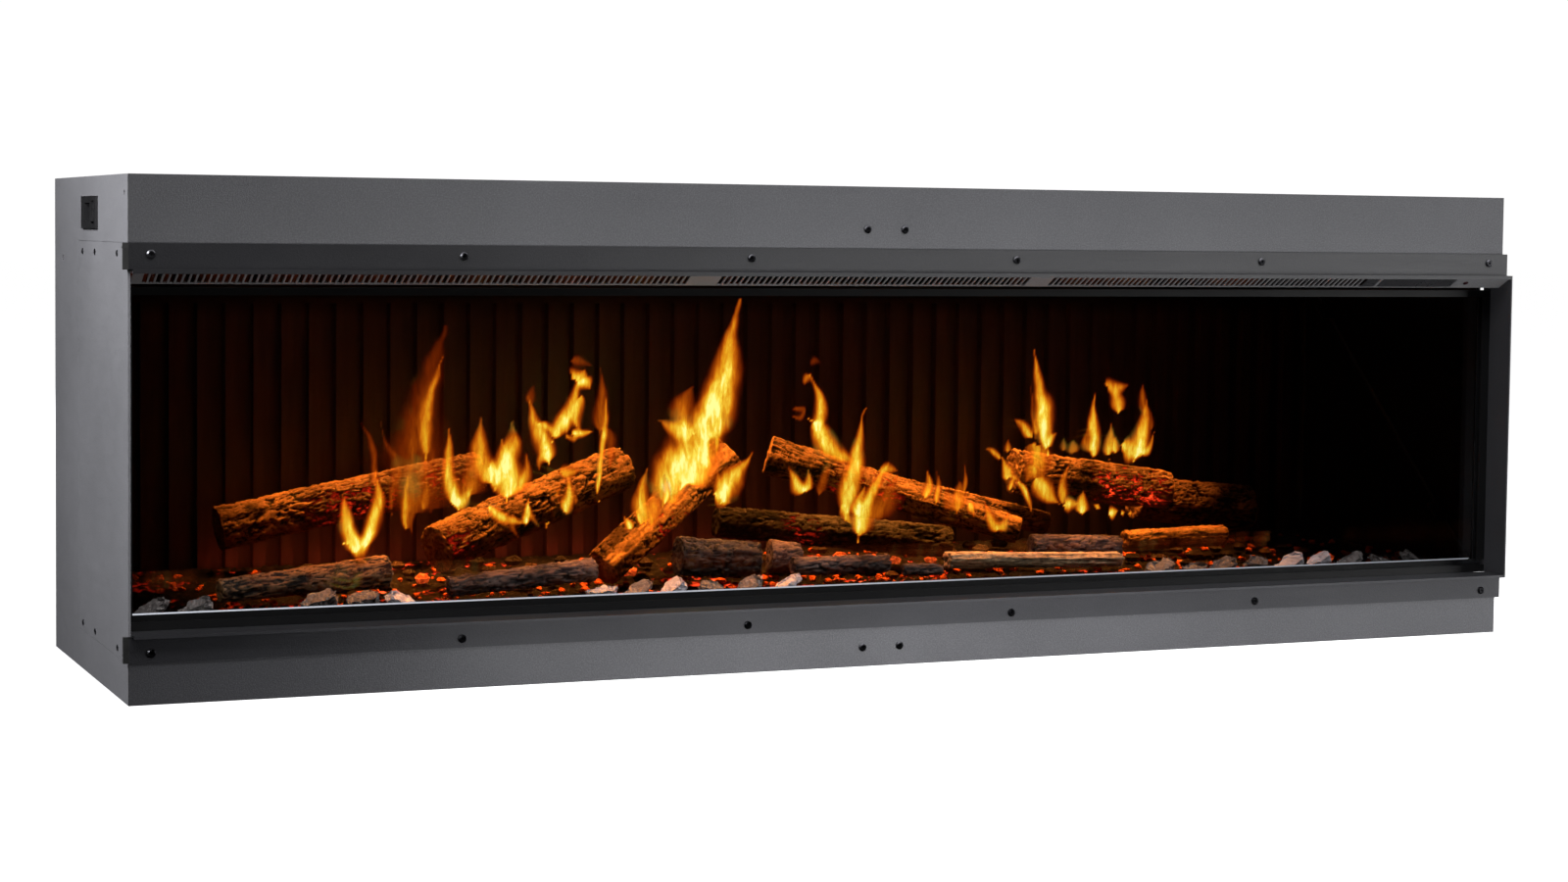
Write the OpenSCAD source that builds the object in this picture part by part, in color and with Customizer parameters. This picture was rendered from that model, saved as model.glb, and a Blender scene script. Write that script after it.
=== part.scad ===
// Built-in linear electric fireplace with a log-effect fuel bed, a tilted
// reflecting glass under a ceiling display, and a fan heater above the window.
// Origin: middle of the underside. +X right, +Y to the back, +Z up.

/* [Casing] */
// Width of the casing
body_w = 1500; // [1400:10:1600]
// Height of the casing
body_h = 480; // [470:1:490]
// Depth of the casing behind the front face
body_d = 398; // [398:1:410]
// Thickness of the folded sheet steel
sheet = 1.5; // [1:0.1:2]
// Height of the heater fascia above the upper trim
fascia_h = 62; // [58:1:66]

/* [Trim] */
// Height of each flat screwed trim strip
strip_h = 24; // [20:1:28]
// Height of the lower trim strip above the floor
strip_low_z = 39; // [37:1:41]
// How far the trim overhangs the casing at each end
strip_over = 5; // [4:0.5:6]
// How far the finishing lip stands out in front
lip_out = 12; // [10:0.5:15]
// Spacing of the trim screws
screw_pitch = 292; // [280:1:296]

/* [Window] */
// Distance from the front face back to the window glass
glass_y = 26; // [25:0.5:27]
// Thickness of the window glass
glass_t = 4; // [3:0.5:4]
// Height of the lower edge of the visible window
window_low_z = 78; // [76:0.5:80]
// Height of the upper edge of the visible window
window_top_z = 370; // [366:0.5:371]

/* [Outlet grille] */
// Spacing of the outlet slots
slot_pitch = 6.2; // [5.8:0.1:8]
// Width of one outlet slot
slot_w = 4.2; // [3:0.1:5]

/* [Flame effect] */
// Slope of the tilted reflecting glass in degrees
mirror_tilt = 43; // [41:0.5:43]
// Thickness of the tilted glass
mirror_t = 5; // [4:0.5:6]
// Spacing of the ribs on the back liner
rib_pitch = 29.4; // [26:0.2:34]
// How far the ribs stand out
rib_depth = 10; // [6:0.5:10]

/* [Fan heater] */
// Length of the blower rotor
rotor_len = 290; // [220:5:290]
// Outer radius of the blower rotor
rotor_r = 20; // [16:0.5:20]
// Number of blades on the blower rotor
blade_count = 22; // [12:1:30]

/* [Power inlet] */
// Width of the inlet bezel along the side of the casing
inlet_w = 78; // [76:1:82]
// Height of the inlet bezel
inlet_h = 31; // [30:0.5:34]

/* [Hidden] */

$fn = 48;
eps = 0.01;
gap = 0.3;
half_w = body_w / 2;
through = 1;
// Front face of the casing in the part's own frame
face_y = lip_out - (body_d + lip_out) / 2;
inner_w = body_w - 2 * sheet;
strip_top_z = body_h - fascia_h - strip_h;
strip_t = 2;
lip_t = 1.5;
lip_hem = 4;
cap_wall = 1.5;
end_clear = 2.6;

// Edges folded along the base and the top
pan_flange = 14;

// Rear panel, set in so that its screw heads stay within the casing
rear_screw_sink = 2;
rear_front = body_d - rear_screw_sink - sheet;
rear_flange = 14;
rear_screw_x = half_w - 9;
rear_screw_z = [30, 170, 310, 450];

// Vents in the top and in the rear: count, spacing, half width, and reach
top_vents = 24;
top_vent_pitch = 20;
top_vent_half = 3;
top_vent_y = [250, 300];
rear_vents = 30;
rear_vent_pitch = 24;
rear_vent_half = 2.5;
rear_vent_z = [424, 462];

// Screws through the fascias: the two bracket screws, and the row in each trim
bracket_screw_x = 20.5;
bracket_low_z = 19.3;
bracket_top_z = 437.5;
strip_screw_low_z = strip_low_z + 8.5;
strip_screw_top_z = strip_top_z + 14;

// Opening in each side of the casing, closed by a flat cover
side_open_y = 259;
side_open_low = 38;
side_open_top = strip_top_z + strip_h;
landing = 12;
cover_screw_y = [53, 168, 234];
cover_pilot_r = 1.6;

// Window glass and its channels
channel_front = glass_y - 2;
channel_back = glass_y + glass_t + 2;
channel_left = -half_w + 3;
channel_right = half_w + 3;
top_bar_h = 7.5;

// Outlet grille: an inclined face from under the lip back to a flat shelf
grille_front = [-lip_out + 1.6, strip_top_z - 2.2];
grille_back = [9, strip_top_z - 13];
grille_t = 1.2;
grille_run = grille_back - grille_front;
grille_len = norm(grille_run);
grille_angle = atan2(grille_run[1], grille_run[0]);
grille_left = -half_w + 3;
slots_right = half_w * 0.756;
blank_a = -194;
blank_b = 172;
blank_half = 14;

// Tilted glass, from the front of the fuel bed up to the back of the display
mirror_y0 = glass_y + 10;
mirror_z0 = window_low_z + 1;
mirror_y1 = 371;
mirror_len = (mirror_y1 - mirror_y0) / cos(mirror_tilt);

// Back liner and the chamber
liner_front = 376;
liner_low_z = 66;
liner_top_z = 384;
liner_half = half_w - 7;
tray_z = 66;
bed_z = 73;
bed_rise = 0.035;

// Deck that carries the heater and the electronics
deck_z = 412;
deck_half = half_w - 3.2;
display_t = 11;
display_half = 700;
display_y = [46, 374];
display_bezel = 12;

// Fan heater
heater_x = -10;
rotor_y = 102;
rotor_z = 446;
shaft_r = 3;
bearing_clear = 0.05;
bearing_r = 7;
disc_t = 2;
blade_deep = 6;
blade_t = 0.8;
end_plate_y = [60, 142];
end_plate_t = 2;
cover_z = 472;
motor_len = 34;
motor_r = 21;

// Power inlet, measured from the front face
inlet_y = 191;
inlet_z = 445.5;
inlet_body = inlet_w - 5;
inlet_body_h = 25.4;
inlet_clear = 0.3;
inlet_deep = 30;
socket_y = [184, 214];
pin_places = [[191, -2], [199, 3], [207, -2]];
rocker_y = 168;
rocker_pivot_x = -half_w + 2;
rocker_pin_r = 1.5;
rocker_tilt = 9;

// Fixing holes in the base
base_hole_r = 3.25;
base_hole_x = 680;
base_hole_y = 150;

// Screws
screw_head_r = 4;
screw_head_t = 2;
screw_shank_r = 2;
screw_hole_r = 2.2;

// Logs: lower end, upper end, radius at each end, flat side (0 none to 1 half),
// angle of the flat side, and seed. Ends are [x, y back from the front face, z].
LOG_REAR_LEFT = [[-605, 300, 127], [-325, 305, 178], 26, 24, 0, 0, 3];
LOG_CENTRE_LEFT = [[-422, 142, 116], [-195, 230, 185], 27, 27, 0, 0, 11];
LOG_FRONT_SPLIT = [[-258, 107, 96], [-80, 216, 200], 23, 22, 0.55, 40, 5];
LOG_CENTRE_SPLIT = [[-26, 235, 197], [226, 132, 117], 26, 18, 0.35, 70, 17];
LOG_REAR_CENTRE = [[150, 278, 148], [330, 262, 108], 18, 15, 0, 0, 23];
LOG_CHARRED_BAR = [[-112, 172, 132], [150, 150, 104], 18, 20, 0, 0, 29];
LOG_CHARRED_KNOT = [[-178, 112, 104], [-90, 106, 98], 23, 20, 0, 0, 31];
LOG_RIGHT_LARGE = [[272, 240, 170], [465, 226, 145], 28, 24, 0, 0, 37];
LOG_RIGHT_REAR = [[455, 285, 132], [606, 280, 115], 28, 30, 0, 0, 41];
LOG_RIGHT_GOLD = [[376, 168, 98], [500, 158, 101], 14, 15, 0.3, 80, 43];
LOG_FRONT_BOARD = [[112, 80, 97], [318, 74, 91], 14, 13, 0.6, 90, 47];
LOG_FRONT_LEFT = [[-650, 88, 90], [-480, 106, 101], 13, 18, 0, 0, 53];
SPLINTERS = [
    [[-430, 76, 87], [-274, 88, 97], 11, 14, 0, 0, 59],
    [[-62, 85, 93], [46, 80, 93], 11, 11, 0, 0, 61],
    [[58, 74, 86], [104, 70, 85], 8, 7, 0, 0, 67],
    [[228, 112, 103], [332, 102, 98], 13, 14, 0, 0, 71],
    [[-70, 128, 99], [-36, 122, 96], 20, 17, 0, 0, 73]
];
LOGS = concat(
    [
        LOG_REAR_LEFT, LOG_CENTRE_LEFT, LOG_FRONT_SPLIT, LOG_CENTRE_SPLIT,
        LOG_REAR_CENTRE, LOG_CHARRED_BAR, LOG_CHARRED_KNOT, LOG_RIGHT_LARGE,
        LOG_RIGHT_REAR, LOG_RIGHT_GOLD, LOG_FRONT_BOARD, LOG_FRONT_LEFT
    ],
    SPLINTERS
);
log_sides = 10;
log_rings = 7;

// Repeatable value between 0 and 1 for a pair of numbers
function chance(a, b) = let (s = sin(a * 127.1 + b * 311.7) * 437.585) s - floor(s);

// Height of the glowing bed at a distance back from the front face
function bed_height(y) = bed_z + bed_rise * (y - 50);

// Point along a log's middle line
function log_point(log, t) = log[0] + (log[1] - log[0]) * t;

// Distance from a point to a log's middle line
function log_distance(log, p) =
    let (
        run = log[1] - log[0],
        t = min(1, max(0, (p - log[0]) * run / (run * run)))
    )
    norm(p - log_point(log, t));

// Room left between a point and the nearest log
function log_room(p) = min([for (log = LOGS) log_distance(log, p) - max(log[2], log[3])]);

// Moves a shape drawn from the front face back into the part's own frame
module from_face() {
    translate([0, face_y, 0]) children();
}

// Box between two corners
module block(low, high) {
    translate(low) cube(high - low);
}

// Shape drawn in the YZ plane and run along X between two ends
module along_x(x0, x1) {
    translate([x0, 0, 0]) rotate([90, 0, 90]) linear_extrude(x1 - x0) children();
}

// Round bar along X
module bar_x(x0, x1, y, z, r) {
    translate([x0, y, z]) rotate([0, 90, 0]) cylinder(h = x1 - x0, r = r);
}

// Round bar along Y
module bar_y(x, y0, y1, z, r) {
    translate([x, y0, z]) rotate([-90, 0, 0]) cylinder(h = y1 - y0, r = r);
}

// Places of the trim screws along one strip
function trim_screws() = [for (i = [-2.5:1:2.5]) i * screw_pitch];

// Places of the screws in one window cover, from the front face
function cover_screws() = [
    for (y = cover_screw_y, z = [side_open_low + 8, side_open_top - 10]) [y, z]
];

// Places of the screws along the edges of the rear panel
function rear_screws() = [
    for (x = [-rear_screw_x, rear_screw_x], z = rear_screw_z) [x, z]
];

/* ---- casing ---- */

module base_pan() {
    color("dimgray") from_face() difference() {
        union() {
            block([-inner_w / 2, sheet, 0], [inner_w / 2, rear_front, sheet]);
            for (side = [-1, 1]) {
                x = side * (inner_w / 2 - sheet / 2);
                block([x - sheet / 2, sheet, 0], [x + sheet / 2, rear_front, pan_flange]);
            }
        }
        for (x = [-base_hole_x, base_hole_x], y = [-base_hole_y, base_hole_y]) {
            translate([x, y - face_y, -through]) cylinder(h = sheet + 2 * through, r = base_hole_r);
        }
    }
}

module top_panel() {
    color("dimgray") from_face() difference() {
        union() {
            block([-inner_w / 2, sheet, body_h - sheet], [inner_w / 2, rear_front, body_h]);
            for (side = [-1, 1]) {
                x = side * (inner_w / 2 - sheet / 2);
                block([x - sheet / 2, sheet, body_h - pan_flange], [x + sheet / 2, rear_front, body_h]);
            }
        }
        for (i = [0:top_vents - 1]) {
            x = (i - (top_vents - 1) / 2) * top_vent_pitch;
            block(
                [x - top_vent_half, top_vent_y[0], body_h - sheet - through],
                [x + top_vent_half, top_vent_y[1], body_h + through]
            );
        }
    }
}

module rear_panel() {
    color("dimgray") from_face() difference() {
        block([-inner_w / 2, rear_front, 0], [inner_w / 2, rear_front + sheet, body_h]);
        for (i = [0:rear_vents - 1]) {
            x = (i - (rear_vents - 1) / 2) * rear_vent_pitch;
            block(
                [x - rear_vent_half, rear_front - through, rear_vent_z[0]],
                [x + rear_vent_half, body_d, rear_vent_z[1]]
            );
        }
        for (p = rear_screws()) {
            bar_y(p[0], rear_front - through, body_d, p[1], screw_hole_r);
        }
    }
}

// One side of the casing: a sheet with its window opening and a landing
// flange behind the edges of the cover. Drawn for the left side.
module side_sheet() {
    outer = -half_w;
    inner = outer + sheet;
    back = side_open_y + gap;
    difference() {
        block([outer, sheet, 0], [inner, body_d, body_h]);
        block([outer - through, 0, side_open_low - gap], [inner + through, back, side_open_top + gap]);
    }
    difference() {
        block(
            [inner, channel_back + 2, side_open_low - landing],
            [inner + sheet, back + landing, side_open_top + landing]
        );
        block(
            [inner - through, 0, side_open_low + landing],
            [inner + sheet + through, back - landing, side_open_top - landing]
        );
        for (p = cover_screws()) {
            bar_x(inner - through, inner + sheet + through, p[0], p[1], screw_hole_r);
        }
    }
    difference() {
        block(
            [inner, rear_front - sheet, rear_flange + 2],
            [inner + rear_flange, rear_front, body_h - rear_flange - 2]
        );
        for (p = rear_screws()) {
            bar_y(p[0], rear_front - sheet - through, rear_front + through, p[1], screw_hole_r);
        }
    }
}

module left_side_panel() {
    out = -half_w - through;
    in = -half_w + sheet + through;
    half_y = inlet_body / 2 + inlet_clear;
    half_z = inlet_body_h / 2 + inlet_clear;
    color("gray") from_face() difference() {
        side_sheet();
        block([out, inlet_y - half_y, inlet_z - half_z], [in, inlet_y + half_y, inlet_z + half_z]);
        bar_x(out, in, 350, 400, 3);
        bar_x(out, in, 18, 463, 2.5);
    }
}

module right_side_panel() {
    color("gray") from_face() mirror([1, 0, 0]) side_sheet();
}

// Cover that fills one side opening flush with the casing
module window_cover(front) {
    out = -half_w - through;
    in = -half_w + sheet + through;
    difference() {
        union() {
            block([-half_w, front, side_open_low], [-half_w + sheet, side_open_y, side_open_top]);
            block(
                [-half_w, front, side_open_low + landing + gap],
                [-half_w + sheet + 0.8, front + sheet, side_open_top - landing - gap]
            );
        }
        for (p = cover_screws()) {
            bar_x(out, in, p[0], p[1], screw_hole_r);
        }
        bar_x(out, in, 30, side_open_top - 5, cover_pilot_r);
        bar_x(out, in, 30, side_open_low + 3, cover_pilot_r);
    }
}

module left_window_cover() {
    color("gray") from_face() window_cover(sheet);
}

module right_window_cover() {
    color("gray") from_face() mirror([1, 0, 0]) window_cover(channel_back + 6);
}

// Front sheet with two bracket screws in the middle
module fascia(low, high, screw_z, trim_z) {
    difference() {
        block([-half_w, 0, low], [half_w, sheet, high]);
        for (x = [-bracket_screw_x, bracket_screw_x]) {
            bar_y(x, -through, sheet + through, screw_z, screw_hole_r);
        }
        for (x = trim_screws()) {
            bar_y(x, -through, sheet + through, trim_z, screw_hole_r);
        }
    }
}

module top_fascia() {
    color([0.3, 0.3, 0.32]) from_face()
        fascia(strip_top_z + 1, body_h, bracket_top_z, strip_screw_top_z);
}

module bottom_fascia() {
    color([0.3, 0.3, 0.32]) from_face()
        fascia(0, strip_low_z + strip_h - 0.1, bracket_low_z, strip_screw_low_z);
}

/* ---- trim ---- */

module top_trim() {
    color([0.28, 0.28, 0.3]) from_face() difference() {
        union() {
            block([-half_w, -strip_t, strip_top_z], [half_w + strip_over, 0, strip_top_z + strip_h]);
            block(
                [-half_w + 2, -lip_out, strip_top_z - 1],
                [half_w + strip_over, 0, strip_top_z + lip_t - 1]
            );
            block(
                [-half_w + 2, -lip_out, strip_top_z - lip_hem + 0.5],
                [half_w + strip_over, -lip_out + 1.2, strip_top_z + lip_t - 1]
            );
        }
        for (x = trim_screws()) {
            bar_y(x, -strip_t - through, through, strip_screw_top_z, screw_hole_r);
        }
    }
}

module bottom_trim() {
    top = strip_low_z + strip_h;
    color([0.28, 0.28, 0.3]) from_face() difference() {
        union() {
            block([-half_w, -strip_t, strip_low_z], [half_w + strip_over, 0, top]);
            block(
                [-half_w + end_clear, -lip_out, top],
                [half_w + strip_over, channel_front - 1, top + lip_t]
            );
            block(
                [-half_w + end_clear, -lip_out, top - 1.2],
                [half_w + strip_over, -lip_out + 1.2, top + lip_t]
            );
        }
        for (x = trim_screws()) {
            bar_y(x, -strip_t - through, through, strip_screw_low_z, screw_hole_r);
        }
    }
}

module right_trim() {
    low = strip_low_z + strip_h + lip_t;
    x = half_w + strip_over;
    color([0.2, 0.2, 0.22]) from_face()
        block([x - sheet, -lip_out, low], [x, channel_back + 5, strip_top_z - lip_hem + 0.5]);
}

module trim_end_caps() {
    outer = -half_w - strip_over;
    color([0.05, 0.05, 0.06]) from_face() for (z = [strip_low_z, strip_top_z]) {
        difference() {
            block([outer, -strip_t, z], [-half_w, 2, z + strip_h]);
            block(
                [outer + cap_wall, -strip_t + cap_wall, z + cap_wall],
                [-half_w - 1, 2 + through, z + strip_h - cap_wall]
            );
        }
    }
}

/* ---- outlet ---- */

// Slot positions, leaving the two plain stretches
slot_margin = 12;
slot_count = floor((slots_right - grille_left - slot_margin) / slot_pitch);
function slot_places() = [
    for (i = [0:slot_count])
        let (x = grille_left + slot_margin + i * slot_pitch)
        if (abs(x - blank_a) > blank_half && abs(x - blank_b) > blank_half) x
];

// Places things on the inclined face: local X along the grille, Y down the slope
module on_slope(x, s) {
    translate([x, grille_front[0], grille_front[1]])
        rotate([grille_angle, 0, 0]) translate([0, s, 0]) children();
}

// Recess in the slope for the touch panel and the insert, and the panel's ring
recess_s = 2.5;
recess_len = grille_len - 2 * recess_s;
inset = 0.2;
touch_half = 8;
ring_r = 5.6;
lens_r = 3.2;
touch_x = slots_right + 10;
insert_x0 = slots_right + 22;
insert_x1 = slots_right + 118;
lens_x = slots_right + 134;

module outlet_grille() {
    color([0.1, 0.1, 0.11]) from_face() difference() {
        along_x(grille_left, channel_right) polygon([
            grille_front,
            grille_back,
            [channel_front - 1, grille_back[1]],
            [channel_front - 1, grille_back[1] + grille_t],
            [grille_back[0] + 0.4, grille_back[1] + grille_t],
            grille_front + [0.6, grille_t]
        ]);
        for (x = slot_places()) {
            on_slope(x, 2) translate([-slot_w / 2, 0, -3]) cube([slot_w, grille_len - 4, 6]);
        }
        on_slope(touch_x, recess_s)
            translate([-touch_half, 0, -0.5]) cube([2 * touch_half, recess_len, 3]);
        on_slope(insert_x0, recess_s)
            translate([0, 0, -0.5]) cube([insert_x1 - insert_x0, recess_len, 3]);
        on_slope(lens_x, grille_len / 2) translate([0, 0, -3]) cylinder(h = 6, r = lens_r);
    }
}

module touch_panel() {
    half = touch_half - inset;
    long = recess_len - 2 * inset;
    color([0.04, 0.04, 0.05]) from_face() on_slope(touch_x, recess_s + inset) {
        translate([-half, 0, -0.45]) cube([2 * half, long, 1]);
        translate([0, long / 2, -0.7]) difference() {
            cylinder(h = 0.5, r = ring_r);
            translate([0, 0, -1]) cylinder(h = 3, r = ring_r - 1);
        }
    }
}

module control_insert() {
    wide = insert_x1 - insert_x0 - 2 * inset;
    color([0.06, 0.06, 0.07]) from_face() on_slope(insert_x0 + inset, recess_s + inset)
        translate([0, 0, -0.4]) cube([wide, recess_len - 2 * inset, 1]);
}

module remote_lens() {
    color([0.12, 0.02, 0.03]) from_face() on_slope(lens_x, grille_len / 2) {
        translate([0, 0, -0.6]) cylinder(h = 3, r = lens_r - gap);
        translate([0, 0, 2.4]) cylinder(h = 1, r = lens_r + 1);
    }
}

/* ---- window ---- */

module glass_top_bar() {
    top = window_top_z + top_bar_h + 0.5;
    color([0.35, 0.35, 0.38]) from_face() along_x(channel_left, channel_right) polygon([
        [channel_front, window_top_z + 0.5], [channel_front, top], [channel_back + 1, top],
        [channel_back + 1, window_top_z + 0.5], [channel_back - 0.5, window_top_z + 0.5],
        [channel_back - 0.5, top - 1.5], [channel_front + 1.5, top - 1.5],
        [channel_front + 1.5, window_top_z + 0.5]
    ]);
}

module glass_bottom_channel() {
    low = strip_low_z + strip_h + lip_t;
    front_h = low + 8;
    color([0.12, 0.12, 0.13]) from_face() along_x(channel_left, channel_right) polygon([
        [channel_front, low], [channel_front, front_h], [channel_front + 1.5, front_h],
        [channel_front + 1.5, low + 1.5], [channel_back - 0.5, low + 1.5],
        [channel_back - 0.5, window_low_z], [channel_back + 1, window_low_z],
        [channel_back + 1, low]
    ]);
}

// Upright channels at the two ends of the window, open towards each other
module glass_side_channels() {
    low = window_low_z + 0.2;
    tall = window_top_z + 0.3 - low;
    color([0.1, 0.1, 0.11]) from_face() for (side = [-1, 1]) {
        x = side < 0 ? channel_left : channel_right;
        reach = side < 0 ? 5 : 10;
        translate([x, 0, low]) mirror([side < 0 ? 0 : 1, 0, 0]) linear_extrude(tall) polygon([
            [0, channel_front], [reach, channel_front], [reach, channel_front + 1.5],
            [1.5, channel_front + 1.5], [1.5, channel_back - 0.5], [reach, channel_back - 0.5],
            [reach, channel_back + 1], [0, channel_back + 1]
        ]);
    }
}

module front_glass() {
    color([0.6, 0.7, 0.75, 0.3]) from_face() block(
        [channel_left + 2, glass_y, strip_low_z + strip_h + lip_t + 4],
        [channel_right - 2, glass_y + glass_t, window_top_z + 4]
    );
}

// Soft strip between the foot of the glass and its channel
module glass_seal() {
    low = strip_low_z + strip_h + lip_t + 1.5;
    color([0.08, 0.08, 0.08]) from_face() block(
        [channel_left + 2, glass_y - 0.4, low],
        [channel_right - 2, glass_y + glass_t + 0.4, low + 2.5]
    );
}

/* ---- flame effect ---- */

module mirror_glass() {
    color([0.5, 0.6, 0.65, 0.3]) from_face()
        translate([-half_w + 8.5, mirror_y0, mirror_z0]) rotate([mirror_tilt, 0, 0])
            translate([0, 0, -mirror_t]) cube([body_w - 17, mirror_len, mirror_t]);
}

// Clips on the side liners that hold the upper corners of the tilted glass
module mirror_clips() {
    color([0.2, 0.2, 0.2]) from_face() for (side = [-1, 1], s = [0.15, 0.85]) {
        translate([side * (half_w - 16), mirror_y0, mirror_z0]) rotate([mirror_tilt, 0, 0])
            translate([-7.5, s * mirror_len - 12, gap / 2]) cube([15, 24, 3]);
    }
}

// Screen that hangs face down under the deck and feeds the tilted glass
module flame_display() {
    low = deck_z - display_t - 1;
    color([0.05, 0.05, 0.06]) from_face() difference() {
        block([-display_half, display_y[0], low], [display_half, display_y[1], deck_z - 1]);
        block(
            [-display_half + display_bezel, display_y[0] + display_bezel, low - through],
            [display_half - display_bezel, display_y[1] - display_bezel, low + 2]
        );
    }
}

module deck_panel() {
    back = rear_front - 3;
    color("dimgray") from_face() difference() {
        union() {
            block([-deck_half, channel_back, deck_z], [deck_half, back, deck_z + sheet]);
            block([-deck_half, back - sheet, deck_z], [deck_half, back, deck_z + 10]);
        }
        for (x = [-620, 0, 620], y = [80, 340]) {
            translate([x, y, deck_z - through]) cylinder(h = sheet + 2 * through, r = screw_hole_r);
        }
    }
}

// Back wall of the chamber: one sheet folded into upright ribs, with a plain
// header across its top
module fluted_liner() {
    header_z = liner_top_z - 30;
    ribs = floor(liner_half / rib_pitch);
    skin = 1.2;
    lean = 1;
    front = [
        for (i = [-ribs:ribs - 1], k = [0:3])
            let (x = (i + 0.25) * rib_pitch, out = (k == 1 || k == 2) ? 0 : rib_depth)
            [x + (k > 1 ? rib_pitch / 2 : 0) + (k == 1 ? lean : k == 2 ? -lean : 0), liner_front + out]
    ];
    back = [for (i = [len(front) - 1:-1:0]) front[i] + [i % 4 < 2 ? skin : -skin, skin]];
    groove = liner_front + rib_depth;
    ends = [[liner_half, groove], [liner_half, groove + skin]];
    starts = [[-liner_half, groove + skin], [-liner_half, groove]];
    color([0.12, 0.1, 0.1]) from_face() {
        translate([0, 0, liner_low_z]) linear_extrude(header_z - liner_low_z)
            polygon(concat(front, ends, back, starts));
        block(
            [-liner_half, liner_front - 2, header_z],
            [liner_half, liner_front - 2 + skin, liner_top_z]
        );
        block(
            [-liner_half, liner_front - 2, header_z - eps],
            [liner_half, groove + skin, header_z + skin]
        );
    }
}

module side_liners() {
    color([0.08, 0.08, 0.09]) from_face() for (side = [-1, 1]) {
        x = side * (half_w - 6);
        block([x - 0.75, channel_back + 3, liner_low_z], [x + 0.75, liner_front - 3, deck_z - 16]);
    }
}

// Tray under the fuel bed, with a front ledge behind the window
module fuel_tray() {
    back = liner_front - 3;
    wide = half_w - 8;
    color([0.1, 0.1, 0.1]) from_face() along_x(-wide, wide) polygon([
        [channel_back + 2, tray_z], [channel_back + 2, window_low_z - 2],
        [channel_back + 3.5, window_low_z - 2], [channel_back + 3.5, tray_z + 1.5],
        [back, tray_z + 1.5], [back, tray_z]
    ]);
}

module tray_supports() {
    half = 20;
    inside = half - sheet;
    hole_r = 14;
    color("dimgray") from_face() for (x = [-620, -210, 210, 620]) {
        difference() {
            block([x - half, bed_y0, sheet], [x + half, bed_y1, tray_z]);
            block([x - inside, bed_y0 - 10, 0], [x + inside, bed_y1 + 10, tray_z - sheet]);
            for (y = [110, 205, 300]) {
                bar_x(x - half - through, x + half + through, y, 34, hole_r);
            }
        }
    }
}

// Lumpy translucent bed: a grid of points whose height follows a formula
bed_cols = 56;
bed_rows = 9;
bed_y0 = 50;
bed_y1 = 360;
bed_half = half_w - 22;
function bed_point(i, j) =
    let (
        x = -bed_half + i * 2 * bed_half / bed_cols,
        y = bed_y0 + j * (bed_y1 - bed_y0) / bed_rows,
        edge = (i == 0 || i == bed_cols || j == 0 || j == bed_rows) ? 0 : 1
    )
    [x, y, bed_height(y) - 2 + edge * 2 * chance(i, j)];

module ember_bed() {
    cols = bed_cols + 1;
    rows = bed_rows + 1;
    n = cols * rows;
    top = [for (j = [0:bed_rows], i = [0:bed_cols]) bed_point(i, j)];
    low = [for (p = top) [p[0], p[1], tray_z + 4.2]];
    top_faces = [
        for (j = [0:bed_rows - 1], i = [0:bed_cols - 1], k = [0, 1])
            let (a = j * cols + i)
            k == 0 ? [a, a + cols, a + 1] : [a + 1, a + cols, a + cols + 1]
    ];
    low_faces = [for (f = top_faces) [f[0] + n, f[2] + n, f[1] + n]];
    rim = concat(
        [for (i = [0:bed_cols - 1]) [i, i + 1]],
        [for (j = [0:bed_rows - 1]) [j * cols + bed_cols, (j + 1) * cols + bed_cols]],
        [for (i = [bed_cols:-1:1]) [bed_rows * cols + i, bed_rows * cols + i - 1]],
        [for (j = [bed_rows:-1:1]) [j * cols, (j - 1) * cols]]
    );
    sides = [for (e = rim, k = [0, 1]) k == 0 ? [e[0], e[1], e[1] + n] : [e[0], e[1] + n, e[0] + n]];
    color([0.6, 0.15, 0.05]) from_face()
        polyhedron(points = concat(top, low), faces = concat(top_faces, low_faces, sides));
}

module ember_light_strips() {
    low = tray_z + sheet;
    board_t = 1.2;
    lamps = 14;
    lamp_half = 2.5;
    color([0.9, 0.9, 0.85]) from_face() for (y = [95, 195, 295]) {
        block([-700, y - 6, low], [700, y + 6, low + board_t]);
        for (i = [0:lamps - 1]) {
            x = (i - (lamps - 1) / 2) * 100;
            block(
                [x - lamp_half, y - lamp_half, low + board_t - 0.1],
                [x + lamp_half, y + lamp_half, low + lamp_half]
            );
        }
    }
}

// Small angular stone
module stone(r, seed) {
    ring = [for (i = [0:5]) let (a = i * 60 + 25 * chance(seed, i), q = r * (0.75 + 0.35 * chance(i, seed)))
        [q * cos(a), q * sin(a)]];
    points = concat(
        [for (p = ring) [p[0] * 0.7, p[1] * 0.7, -r * 0.4]],
        [for (p = ring) [p[0], p[1], r * 0.1]],
        [for (p = ring) [p[0] * 0.45, p[1] * 0.5, r * 0.5]]
    );
    walls = [
        for (level = [0, 1], i = [0:5], k = [0, 1])
            let (a = level * 6 + i, b = level * 6 + (i + 1) % 6)
            k == 0 ? [a, a + 6, b] : [b, a + 6, b + 6]
    ];
    polyhedron(points = points, faces = concat(walls, [[0, 1, 2, 3, 4, 5], [17, 16, 15, 14, 13, 12]]));
}

coal_rows = 5;
coal_cols = 26;
module ember_coals() {
    color([0.8, 0.2, 0.05]) from_face() for (j = [0:coal_rows - 1], i = [0:coal_cols - 1]) {
        r = 8 + 4 * chance(i, j + 2);
        x = -520 + i * 44 + 10 * chance(j, i);
        y = 84 + j * 46 + 12 * chance(i + 3, j);
        z = bed_height(y) + r * 0.4 + 0.4;
        if (log_room([x, y, z]) > r + 1) {
            translate([x, y, z]) stone(r, i + 31 * j);
        }
    }
}

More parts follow.
